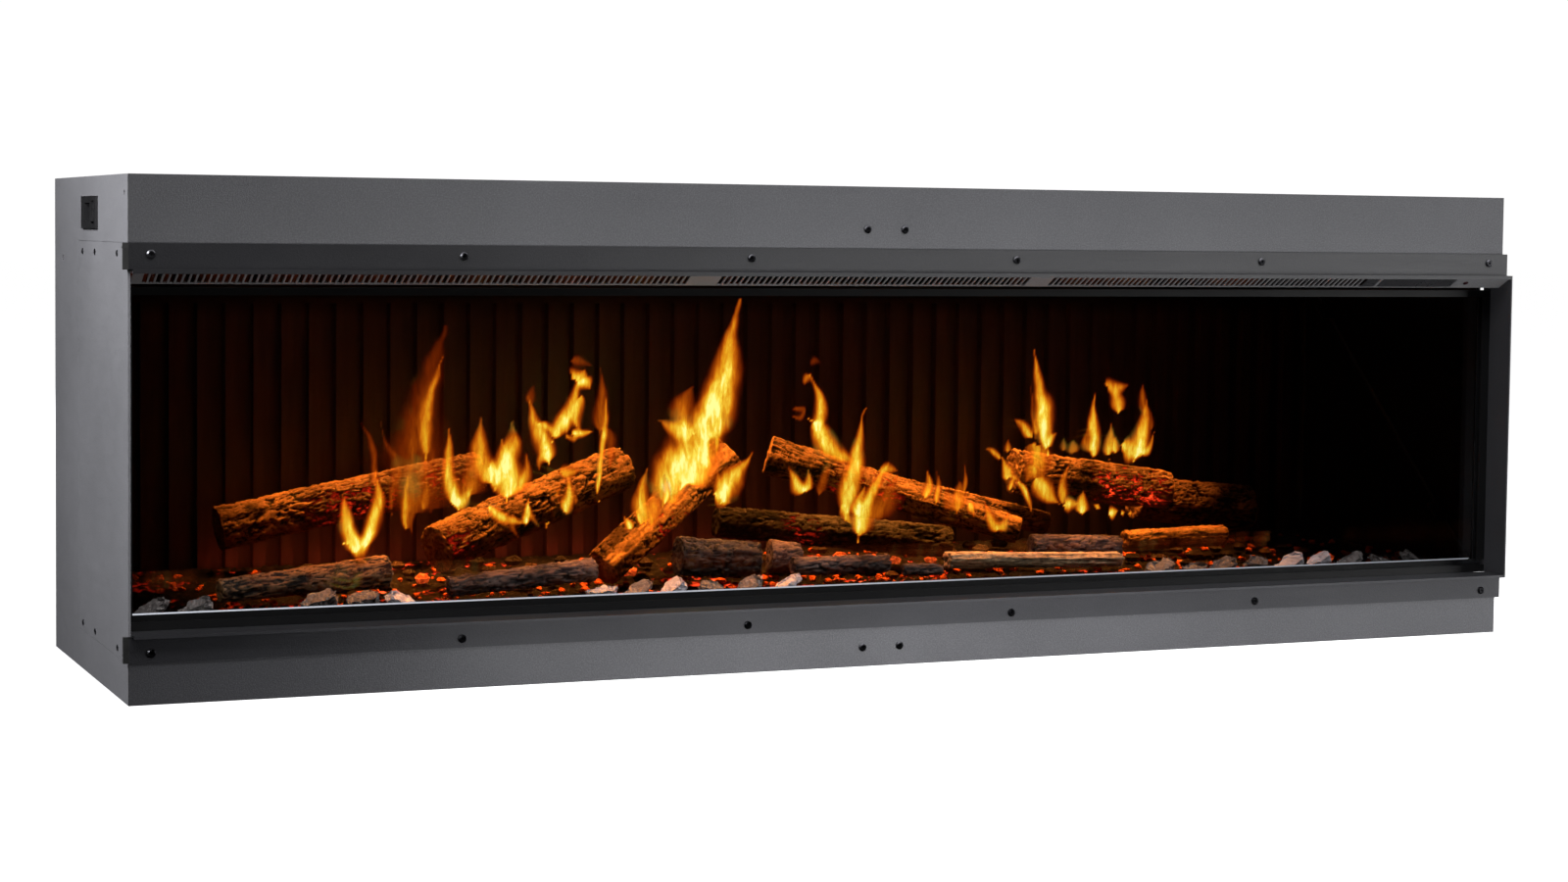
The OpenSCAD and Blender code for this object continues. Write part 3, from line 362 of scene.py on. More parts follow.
def light_board():
    s = Shader("light_board")
    spots = s.cells(60, output="Distance")
    base = s.mix(s.remap(s.noise(50), 0.3, 0.7), (0.7, 0.7, 0.66), (0.8, 0.8, 0.76))
    return s.set(
        Base_Color=base, Roughness=s.remap(s.noise(400), 0.3, 0.7, 0.4, 0.6),
        Normal=s.bump(s.noise(900), 0.2, 0.0001),
        Emission_Color=(1.0, 0.13, 0.02, 1), Emission_Strength=s.remap(spots, 0.1, 0.3, 6, 0.3),
    ).material


def bark(name, dark, mid, light, cut, hot=0.0):
    """Cast bark: darker crevices, partly the bark's own colour there and partly painted shade, brown plates with broad
    patches of painted shade, and paler worn ridges. The attributes that the mesh carries say how deep each place is,
    and where the wood is cut or split."""
    s = Shader(name)
    depth = s.attribute("crevice")
    bare = s.attribute("bare")
    glow = s.attribute("glow")
    fine = s.noise(420, 5, 0.7)
    patch = s.noise(38, 4, 0.65)
    grain = s.noise(60, 5, 0.7, warp=0.5)
    skin = s.mix(s.remap(patch, 0.3, 0.7), mid, light)
    skin = s.mix(s.remap(fine, 0.35, 0.75, 0.0, 0.6), skin, tint(mid, 0.45))
    # Broad random dark patches: painted shade, so that only some of the bark looks lit.
    skin = s.mix(s.remap(s.noise(19, 4, 0.65), 0.46, 0.62, 0.0, 0.85), skin, tint(mid, 0.14))
    # The crevices darken towards the first colour: partly the bark's own darker colour there, partly painted shade.
    skin = s.mix(s.remap(depth, 0.12, 0.55), skin, dark)
    wood = s.mix(s.remap(grain, 0.42, 0.58), cut, tint(cut, 0.4))
    # The cut wood darkens in its cracks and deep grain: partly its own colour, partly painted shade.
    wood = s.mix(s.remap(depth, 0.2, 0.6, 0, 0.9), wood, tint(cut, 0.12))
    base = s.mix(bare, skin, wood)
    embers = s.math("MULTIPLY", glow, s.remap(depth, 0.35, 0.8))
    flicker = s.math("MULTIPLY", embers, s.remap(s.noise(130, 4, 0.7), 0.42, 0.72))
    return s.set(
        Base_Color=base, Roughness=s.remap(fine, 0.3, 0.7, 0.62, 0.9), Specular_IOR_Level=0.3,
        Normal=s.bump(fine, 0.6, 0.0012),
        Emission_Color=s.ramp(flicker, [(0.0, (0.7, 0.015, 0.004)), (0.5, (1.0, 0.07, 0.012)), (1.0, (1.0, 0.25, 0.06))]),
        Emission_Strength=s.math("MULTIPLY", flicker, hot),
    ).material


def ember_crust():
    """Crushed cinders and ash, glowing red in the gaps."""
    s = Shader("ember_resin")
    deep = s.attribute("crevice")
    fine = s.noise(300, 5, 0.7)
    zone = s.attribute("glow")
    base = s.mix(s.remap(fine, 0.3, 0.7), (0.003, 0.0025, 0.0025), (0.014, 0.011, 0.01))
    base = s.mix(s.remap(s.noise(90, 4, 0.7), 0.62, 0.78, 0, 0.5), base, (0.05, 0.042, 0.04))
    hot = s.math("MULTIPLY", s.remap(deep, 0.45, 0.85), s.remap(s.noise(15, 3, 0.6), 0.54, 0.68), clamp=True)
    hot = s.math("MULTIPLY", hot, zone)
    return s.set(
        Base_Color=base, Roughness=s.remap(fine, 0.3, 0.7, 0.6, 0.95),
        Normal=s.bump(fine, 0.9, 0.0025),
        Emission_Color=s.ramp(hot, [(0.0, (0.6, 0.01, 0.002)), (0.4, (1.0, 0.05, 0.01)), (1.0, (1.0, 0.3, 0.08))]),
        Emission_Strength=s.math("MULTIPLY", hot, 4.0),
    ).material


def coal_skin():
    """Loose coals: each stone's tone says whether it is charred, ashy or glowing."""
    s = Shader("coal_resin")
    tone = s.attribute("tone")
    fine = s.noise(350, 5, 0.7)
    base = s.ramp(tone, [
        (0.0, (0.012, 0.01, 0.01)), (0.45, (0.05, 0.03, 0.022)), (0.62, (0.16, 0.09, 0.06)), (0.8, (0.35, 0.07, 0.02)),
    ])
    base = s.mix(s.remap(fine, 0.4, 0.8, 0, 0.7), base, (0.01, 0.008, 0.008))
    hot = s.math("MULTIPLY", s.remap(tone, 0.74, 0.9), s.remap(fine, 0.62, 0.35, 0.0, 1.0))
    return s.set(
        Base_Color=base, Roughness=s.remap(fine, 0.3, 0.7, 0.5, 0.9),
        Normal=s.bump(fine, 0.7, 0.001),
        Emission_Color=s.ramp(hot, [(0.0, (0.8, 0.03, 0.005)), (1.0, (1.0, 0.22, 0.03))]),
        Emission_Strength=s.math("MULTIPLY", hot, 1.6),
    ).material


def slate_skin():
    """Pale and dark slate flakes, layered and speckled."""
    s = Shader("slate_stone")
    tone = s.attribute("tone")
    layers = s.noise(60, 5, 0.7, source=s.stretch((1, 1, 9)))
    fine = s.noise(500, 4, 0.7)
    base = s.ramp(tone, [
        (0.0, (0.05, 0.05, 0.055)), (0.3, (0.16, 0.14, 0.13)), (0.55, (0.5, 0.46, 0.48)), (1.0, (0.72, 0.68, 0.74)),
    ])
    base = s.mix(s.remap(layers, 0.4, 0.75, 0, 0.55), base, (0.1, 0.085, 0.085))
    base = s.mix(s.remap(fine, 0.5, 0.8, 0, 0.4), base, (0.8, 0.75, 0.72))
    return s.set(
        Base_Color=base, Roughness=s.remap(fine, 0.3, 0.7, 0.55, 0.85),
        Normal=s.bump(layers, 0.6, 0.001),
    ).material


def flame_light():
    """A flame's light: each point's heat sets its colour, brightness and how solid it looks."""
    s = Shader("flame_light")
    heat = s.attribute("warmth")
    wisps = s.noise(55, 4, 0.6, source=s.stretch((3.2, 3.2, 0.8)), warp=0.4)
    body = s.math("MULTIPLY", heat, s.remap(wisps, 0.25, 0.75, 0.72, 1.18), clamp=True)
    colour = s.ramp(body, [
        (0.0, (0.5, 0.02, 0.0)), (0.3, (0.85, 0.09, 0.002)), (0.55, (1.0, 0.22, 0.006)),
        (0.75, (1.0, 0.45, 0.015)), (0.9, (1.0, 0.75, 0.07)), (1.0, (1.0, 0.9, 0.28)),
    ])
    cool = s.math("MULTIPLY", s.remap(s.noise(26, 2, 0.5), 0.58, 0.7), s.remap(body, 0.75, 0.25, 0, 0.55), clamp=True)
    colour = s.mix(cool, colour, (0.42, 0.5, 0.06))
    power = s.ramp(body, [(0.0, 0.0), (0.3, 0.42), (0.6, 0.8), (1.0, 1.0)])
    s.set(
        Base_Color=(0, 0, 0, 1), Roughness=1.0, Specular_IOR_Level=0.0,
        Alpha=s.ramp(body, [(0.0, 0.0), (0.25, 0.28), (0.65, 0.72), (1.0, 0.95)]),
        Emission_Color=colour, Emission_Strength=s.math("MULTIPLY", power, 1.25),
    )
    s.material.cycles.emission_sampling = "NONE"
    return s.material


def ground_white():
    s = Shader("studio_floor")
    soft = s.noise(2, 2)
    # Painted contact shadow: the floor's glow dims where the object stands close by.
    painted_contact_shadow = s.node("ShaderNodeAmbientOcclusion", samples=8)
    painted_contact_shadow.inputs["Distance"].default_value = 0.05
    near = painted_contact_shadow.outputs["AO"]
    return s.set(
        Base_Color=s.mix(soft, (0.86, 0.86, 0.86), (0.9, 0.9, 0.9)), Roughness=0.9,
        Specular_IOR_Level=0.0, Emission_Color=(1, 1, 1, 1), Emission_Strength=s.remap(near, 0.3, 1, 0.86, 1.0),
    ).material


def dress_cad_nodes():
    """Gives every CAD node that stays on show its own material."""
    casing = powder_coat("casing_paint", (0.115, 0.115, 0.125), 0.4, 0.3)
    front = powder_coat("front_paint", (0.06, 0.06, 0.066), 0.4, 0.5)
    trim = powder_coat("trim_paint", (0.034, 0.034, 0.038), 0.32, 0.15)
    grille = powder_coat("grille_paint", (0.12, 0.12, 0.125), 0.4, 0.2)
    duct = powder_coat("duct_paint", (0.012, 0.012, 0.012), 0.6, 0.2)
    channel = powder_coat("channel_black", (0.012, 0.012, 0.013), 0.35, 0.15)
    bar = powder_coat("channel_metal", (0.006, 0.006, 0.007), 0.4, 0.2)
    tray = powder_coat("tray_paint", (0.015, 0.014, 0.014), 0.6, 0.2)
    motor = powder_coat("motor_metal", (0.2, 0.2, 0.21), 0.4, 0.2)
    zinc = galvanised("zinc_sheet")
    touch = moulded("touch_plastic", (0.035, 0.035, 0.038), 0.25, 0.4)
    liner_side = Shader("side_liner_paint")
    smear = liner_side.noise(12, 4, 0.6)
    liner_side.set(
        Base_Color=liner_side.mix(smear, (0.006, 0.006, 0.006), (0.012, 0.011, 0.011)),
        Roughness=liner_side.remap(smear, 0.3, 0.7, 0.1, 0.2),
        Normal=liner_side.bump(liner_side.noise(60, 2), 0.03, 0.0005),
    )
    pane_low, pane_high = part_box("mirror_glass")
    rise = Vector((0, pane_high.y - pane_low.y, pane_high.z - pane_low.z)).normalized()
    tilted = (0, -rise.z, rise.y)
    clear = (0.9, 0.95, 1.0)
    looks = {
        casing: ["base_pan", "top_panel", "rear_panel", "left_side_panel", "right_side_panel",
                 "left_window_cover", "right_window_cover"],
        front: ["top_fascia", "bottom_fascia"],
        trim: ["top_trim", "bottom_trim", "right_trim"],
        moulded("cap_plastic", (0.01, 0.01, 0.01), 0.5): ["trim_end_caps"],
        grille: ["outlet_grille"],
        touch: ["touch_panel", "control_insert"],
        moulded("lens_plastic", (0.03, 0.006, 0.008), 0.1, 0.6): ["remote_lens"],
        bar: ["glass_top_bar"],
        channel: ["glass_bottom_channel", "glass_side_channels", "mirror_clips"],
        pane_glass("window_glass", 0.6, clear, (0, 1, 0), (0, 0, 1), 0.0): ["front_glass"],
        pane_glass("mirror_pane", 1.0, clear, tilted, -rise, 0.6): ["mirror_glass"],
        moulded("seal_rubber", (0.02, 0.02, 0.02), 0.7): ["glass_seal"],
        display_face(): ["flame_display"],
        zinc: ["deck_panel", "tray_supports", "blower_housing"],
        duct: ["outlet_duct"],
        liner_paint(): ["fluted_liner"],
        liner_side.material: ["side_liners"],
        tray: ["fuel_tray"],
        light_board(): ["ember_light_strips"],
        brushed("rotor_metal", (0.75, 0.76, 0.78), (30, 2, 2)): ["blower_rotor"],
        motor: ["blower_motor"],
        brushed("bronze", (0.7, 0.48, 0.2), (40, 4, 4)): ["blower_bearing", "inlet_pins"],
        brushed("heater_wire", (0.5, 0.36, 0.28), (40, 40, 1), 0.5): ["heating_element"],
        moulded("cutout_body", (0.68, 0.67, 0.62), 0.4): ["thermal_cutout"],
        circuit_board(): ["control_board"],
        brushed("supply_case", (0.7, 0.71, 0.72), (1, 30, 30), 0.35): ["power_supply"],
        moulded("inlet_plastic", (0.01, 0.01, 0.011), 0.3): ["power_inlet"],
        moulded("rocker_plastic", (0.012, 0.012, 0.013), 0.22, 0.2): ["rocker_switch"],
        brushed("screw_steel", (0.09, 0.09, 0.1), (8, 8, 8), 0.3): ["screws"],
    }
    for material, names in looks.items():
        for name in names:
            NODES[name].data.materials.clear()
            NODES[name].data.materials.append(material)


# ---------------------------------------------------------------- mesh helpers

def link_piece(name, mesh, material, replaced=()):
    """Adds a mesh as a piece that rides on the casing."""
    mesh.materials.clear()
    mesh.materials.append(material)
    piece = bpy.data.objects.new(name, mesh)
    SCENE.collection.objects.link(piece)
    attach(piece, "root")
    if replaced:
        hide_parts(*replaced)
    return piece


def points_of(mesh):
    flat = np.zeros(len(mesh.vertices) * 3, np.float32)
    mesh.vertices.foreach_get("co", flat)
    return flat.reshape(-1, 3).astype(float)


def normals_of(mesh):
    flat = np.zeros(len(mesh.vertices) * 3, np.float32)
    mesh.vertices.foreach_get("normal", flat)
    return flat.reshape(-1, 3).astype(float)


def write_points(mesh, points):
    mesh.vertices.foreach_set("co", points.astype(np.float32).ravel())
    mesh.update()


def write_value(mesh, name, values):
    layer = mesh.attributes.new(name, "FLOAT", "POINT")
    layer.data.foreach_set("value", np.asarray(values, np.float32))


def smooth_shading(mesh):
    mesh.polygons.foreach_set("use_smooth", [True] * len(mesh.polygons))


def welded_copy(node):
    """A copy of a CAD node's mesh with its split corners joined again."""
    form = bmesh.new()
    form.from_mesh(NODES[node].data)
    bmesh.ops.remove_doubles(form, verts=form.verts, dist=1e-5)
    return form


def remeshed(node, voxel, relax):
    """An even, closed mesh over a CAD node's shape, with its facets eased away."""
    form = welded_copy(node)
    rough = bpy.data.meshes.new(node + "_rough")
    form.to_mesh(rough)
    form.free()
    holder = bpy.data.objects.new(node + "_rough", rough)
    SCENE.collection.objects.link(holder)
    even = holder.modifiers.new("even", "REMESH")
    even.mode = "VOXEL"
    even.voxel_size = voxel
    ease = holder.modifiers.new("ease", "SMOOTH")
    ease.iterations = relax
    ease.factor = 0.5
    seen = holder.evaluated_get(bpy.context.evaluated_depsgraph_get())
    mesh = bpy.data.meshes.new_from_object(seen)
    bpy.data.objects.remove(holder)
    return mesh


def islands(form):
    """Each loose part of a bmesh, as a list of its vertices, in a steady order."""
    form.verts.ensure_lookup_table()
    seen = set()
    found = []
    for start in form.verts:
        if start.index in seen:
            continue
        seen.add(start.index)
        group = [start]
        for vert in group:
            for edge in vert.link_edges:
                other = edge.other_vert(vert)
                if other.index not in seen:
                    seen.add(other.index)
                    group.append(other)
        found.append(group)
    return found


def long_axis(points):
    """Middle, unit direction and half length of a long shape, low X end first."""
    middle = points.mean(0)
    direction = np.linalg.svd(points - middle, full_matrices=False)[2][0]
    if direction[0] < 0:
        direction = -direction
    along = (points - middle) @ direction
    return middle + direction * (along.max() + along.min()) / 2, direction, (along.max() - along.min()) / 2


def ridge(value):
    """1 on a noise's zero line and less away from it."""
    return 1 - abs(value) * 2


# ---------------------------------------------------------------- logs

def log_end(node, end):
    """A point at one end of a log's axis: -1 is its low X end and 1 its high X end."""
    middle, direction, half = long_axis(points_of(NODES[node].data))
    return Vector(middle + direction * half * end)


def bark_field(place, around, seed, plate):
    """How crumbled the bark is at a point, and how deep in a crack. place is along the log in
    metres, around is the point's place round it, and plate sets how many plates there are."""
    here = Vector((place, around.x, around.y)) + Vector((seed * 3.7, seed * 1.3, seed * 2.1))
    wander = noise.noise_vector(here * 40) * 0.7
    near = noise.voronoi(Vector((here.x * plate * 0.24, here.y * plate, here.z * plate)) + wander)[0]
    gap = (1 - min(1.0, (near[1] - near[0]) * 2.2)) * (0.75 + 0.5 * noise.noise(here * 55))
    fibre = ridge(noise.noise(Vector((here.x * 34, here.y * 420, here.z * 420))))
    crumble = noise.fractal(here * 180, 0.9, 2.1, 3)
    crack = max(0.0, gap - 0.45) / 0.55
    return crumble, min(1.0, max(crack, max(0.0, fibre - 0.72) / 0.28 * 0.75))


def make_log(node, material, seed, voxel=1.7 * MM, bark_depth=4.5 * MM, plate=190, glow=(), bareness=0.0):
    """A log with plated bark over the CAD log's own shape. glow lists stretches of the log whose
    cracks glow, as (from, to, strength) in shares of its length."""
    middle, direction, half = long_axis(points_of(NODES[node].data))
    mesh = remeshed(node, voxel, 8)
    points = points_of(mesh)
    normals = normals_of(mesh)
    along = (points - middle) @ direction
    spokes = points - middle - np.outer(along, direction)
    reach = np.linalg.norm(spokes, axis=1)
    usual = np.median(reach)
    lean = np.abs(normals @ direction)
    deep = np.zeros(len(points))
    bare = np.zeros(len(points))
    hot = np.zeros(len(points))
    moved = points.copy()
    side_axis = np.cross(direction, (0, 0, 1))
    side_axis /= np.linalg.norm(side_axis)
    top_axis = np.cross(side_axis, direction)
    for i, point in enumerate(points):
        around = Vector((spokes[i] @ side_axis, spokes[i] @ top_axis))
        crumble, crack = bark_field(along[i], around, seed, plate)
        end = min(1.0, max(0.0, (lean[i] - 0.55) / 0.25))
        split = min(1.0, max(0.0, (0.8 - reach[i] / usual) / 0.12)) * (1 - end)
        open_wood = max(end, split, bareness)
        grain = noise.fractal(Vector((along[i] * 25, around.x * 260, around.y * 260)) + Vector((seed,) * 3), 0.8, 2.0, 3)
        rings = math.sin(reach[i] * 1500 + noise.noise(point * 60) * 3)
        skin_drop = bark_depth * (0.35 * (crumble + 0.4) + 0.9 * crack)
        wood_drop = 1.5 * MM * (grain + 0.5) + end * 0.35 * MM * rings
        drop = skin_drop * (1 - open_wood) + (wood_drop + crack * 1.2 * MM) * open_wood
        moved[i] = point - normals[i] * max(0.0, drop)
        deep[i] = min(1.0, crack * (1 - 0.5 * open_wood) + max(0.0, crumble) * 0.3 + open_wood * max(0.0, grain) * 0.6)
        bare[i] = open_wood
        share = (along[i] + half) / (2 * half)
        for start, stop, strength in glow:
            if start <= share <= stop:
                edge = min(share - start, stop - share) / max(1e-6, (stop - start) / 2)
                low_side = 0.5 - 0.5 * (spokes[i] @ top_axis) / max(usual, 1e-6)
                hot[i] = max(hot[i], strength * min(1.0, 2 * edge) * (0.35 + 0.65 * min(1.0, max(0.0, low_side))))
    write_points(mesh, moved)
    write_value(mesh, "crevice", deep)
    write_value(mesh, "bare", bare)
    write_value(mesh, "glow", hot)
    smooth_shading(mesh)
    return link_piece(node + "_bark", mesh, material, (node,))


def make_logs():
    brown = bark("log_resin", (0.005, 0.003, 0.002), (0.17, 0.085, 0.04), (0.36, 0.2, 0.09), (0.5, 0.27, 0.11), 5.0)
    charred = bark("log_charred", (0.004, 0.004, 0.004), (0.035, 0.028, 0.024), (0.1, 0.085, 0.075), (0.05, 0.04, 0.035), 4.0)
    ashen = bark("log_ashen", (0.012, 0.01, 0.01), (0.12, 0.075, 0.062), (0.22, 0.16, 0.14), (0.14, 0.1, 0.085), 0.0)
    pale = bark("log_pale", (0.06, 0.035, 0.02), (0.5, 0.33, 0.18), (0.6, 0.42, 0.25), (0.7, 0.48, 0.27), 0.0)
    make_log("log_rear_left", brown, 1, glow=[(0.3, 1.0, 0.5)])
    make_log("log_centre_left", brown, 2, glow=[(0.0, 0.15, 0.3)])
    make_log("log_front_split", brown, 3, bark_depth=3 * MM, plate=230, glow=[(0.3, 0.6, 0.5)])
    make_log("log_centre_split", brown, 4, bark_depth=3.5 * MM, glow=[(0.25, 0.55, 0.7)])
    make_log("log_rear_centre", brown, 5, bark_depth=3 * MM)
    make_log("log_charred_bar", charred, 6, bark_depth=3.5 * MM, glow=[(0.25, 0.45, 0.3)])
    make_log("log_charred_knot", charred, 7, bark_depth=6 * MM, plate=110)
    make_log("log_right_large", brown, 8, glow=[(0.45, 1.0, 1.0)])
    make_log("log_right_rear", brown, 9)
    make_log("log_right_gold", brown, 10, bark_depth=3 * MM, bareness=0.3)
    make_log("log_front_board", pale, 11, voxel=1.6 * MM, bark_depth=1.5 * MM, bareness=0.9)
    make_log("log_front_left", brown, 12, bark_depth=3 * MM, plate=230)
    make_splinters(ashen)


def make_splinters(material):
    """The loose splinters, rough all round."""
    mesh = remeshed("log_splinters", 1.7 * MM, 6)
    points = points_of(mesh)
    normals = normals_of(mesh)
    deep = np.zeros(len(points))
    for i, point in enumerate(points):
        crumble, crack = bark_field(point[0], Vector((point[1], point[2])), 13, 170)
        points[i] = point - normals[i] * 3 * MM * max(0.0, crack + 0.4 * (crumble + 0.4))
        deep[i] = crack
    write_points(mesh, points)
    write_value(mesh, "crevice", deep)
    write_value(mesh, "bare", np.zeros(len(points)))
    write_value(mesh, "glow", np.zeros(len(points)))
    smooth_shading(mesh)
    link_piece("log_splinters_bark", mesh, material, ("log_splinters",))


# ---------------------------------------------------------------- ember bed, coals and slate

def make_ember_bed(material):
    """The bed's crust: the CAD bed's own surface with crushed cinders worked into it."""
    mesh = remeshed("ember_bed", 4 * MM, 4)
    points = points_of(mesh)
    normals = normals_of(mesh)
    low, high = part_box("ember_bed")
    deep = np.zeros(len(points))
    hot = np.zeros(len(points))
    for i, point in enumerate(points):
        here = Vector(point)
        if normals[i][2] > 0.2:
            gaps = noise.voronoi(here * 95)[0]
            edge = 1 - min(1.0, (gaps[1] - gaps[0]) * 3)
            lump = noise.fractal(here * 120, 0.9, 2.1, 3)
            points[i] = here + Vector((0, 0, 1)) * (-3.5 * MM * edge + 1.2 * MM * (lump - 0.6))
            deep[i] = edge
            across = (point[0] - low.x) / (high.x - low.x)
            hot[i] = max(0.0, min(1.0, 1.6 * min(across, 0.8 - across) / 0.3)) if across < 0.8 else 0.0
    write_points(mesh, points)
    write_value(mesh, "crevice", deep)
    write_value(mesh, "glow", hot)
    smooth_shading(mesh)
    link_piece("ember_crust", mesh, material, ("ember_bed",))


def roughened_stones(name, node, material, cuts, rough, seed, tones, tilt=(0.0, 0.0), swell=1.0):
    """Each loose stone of a CAD node, cut finer and knocked about, with a tone of its own. tilt is
    how far its rear may be lifted and swell how much larger it is than the CAD stone."""
    form = welded_copy(node)
    bmesh.ops.subdivide_edges(form, edges=form.edges, cuts=cuts, use_grid_fill=True)
    form.verts.ensure_lookup_table()
    form.verts.index_update()
    draw = random.Random(seed)
    tone = np.zeros(len(form.verts))
    form.normal_update()
    for group in islands(form):
        middle = sum((v.co for v in group), Vector()) / len(group)
        reach = max((v.co - middle).length for v in group)
        shift = Vector((draw.uniform(0, 50), draw.uniform(0, 50), draw.uniform(0, 50)))
        own = draw.choice(tones)
        turn = Matrix.Rotation(draw.uniform(*tilt), 3, "X") @ Matrix.Rotation(draw.uniform(-1, 1) * tilt[1], 3, "Y")
        for vert in group:
            vert.co = middle + turn @ (vert.co - middle) * swell
        for vert in group:
            bulk = noise.noise(vert.co * (1.2 / reach) + shift)
            chip = noise.fractal(vert.co * (5 / reach) + shift, 0.9, 2.1, 2)
            vert.co = vert.co - vert.normal * reach * rough * max(0.0, 0.5 + bulk + 0.5 * chip)
            tone[vert.index] = own
    mesh = bpy.data.meshes.new(name)
    form.to_mesh(mesh)
    form.free()
    write_value(mesh, "tone", tone)
    link_piece(name, mesh, material, (node,))


def stone_mesh(form, centre, size, draw, squash):
    """Adds one small angular stone to a bmesh."""
    made = bmesh.ops.create_icosphere(form, subdivisions=2, radius=1.0)["verts"]
    shift = Vector((draw.uniform(0, 90), draw.uniform(0, 90), draw.uniform(0, 90)))
    turn = Matrix.Rotation(draw.uniform(0, math.tau), 3, "Z") @ Matrix.Rotation(draw.uniform(-0.5, 0.5), 3, "X")
    for vert in made:
        dent = 0.75 + 0.45 * noise.noise(vert.co * 1.1 + shift) + 0.12 * noise.noise(vert.co * 4 + shift)
        spot = Vector((vert.co.x, vert.co.y * 0.75, vert.co.z * squash)) * dent * size
        vert.co = centre + turn @ spot
    return made


def bed_height(tree, x, y, top):
    """Height of the ember bed under a place, or None past its edge."""
    hit = tree.ray_cast(Vector((x, y, top)), Vector((0, 0, -1)))
    return hit[0].z if hit[0] is not None else None


SLATE_TONES = (0.0, 0.1, 0.2, 0.35, 0.35, 0.6, 0.8, 1.0)
CRUMB_TONES = (0.03, 0.05, 0.08, 0.1, 0.15, 0.2, 0.3, 0.3, 0.4, 0.5, 0.6, 0.85)


def make_crumbs(material):
    """Small cinders over the bed, thickest along the front ledge, from a seeded scatter."""
    form = welded_copy("ember_bed")
    tree = BVHTree.FromBMesh(form)
    form.free()
    low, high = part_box("ember_bed")
    draw = random.Random(41)
    stones = bmesh.new()
    tones = []
    crumbs = 620
    for i in range(crumbs):
        x = draw.uniform(low.x + 8 * MM, high.x - 8 * MM)
        front_bias = draw.random() ** 2.2
        y = low.y + 6 * MM + front_bias * (high.y - low.y - 60 * MM)
        size = draw.uniform(2.5, 7.0) * MM
        ground = bed_height(tree, x, y, high.z + 0.05)
        if ground is None:
            continue
        before = len(stones.verts)
        stone_mesh(stones, Vector((x, y, ground + size * 0.15)), size, draw, 0.6)
        tones += [draw.choice(CRUMB_TONES)] * (len(stones.verts) - before)
    mesh = bpy.data.meshes.new("ember_crumbs")
    stones.to_mesh(mesh)
    stones.free()
    write_value(mesh, "tone", tones)
    link_piece("ember_crumbs", mesh, material)


# ---------------------------------------------------------------- flames

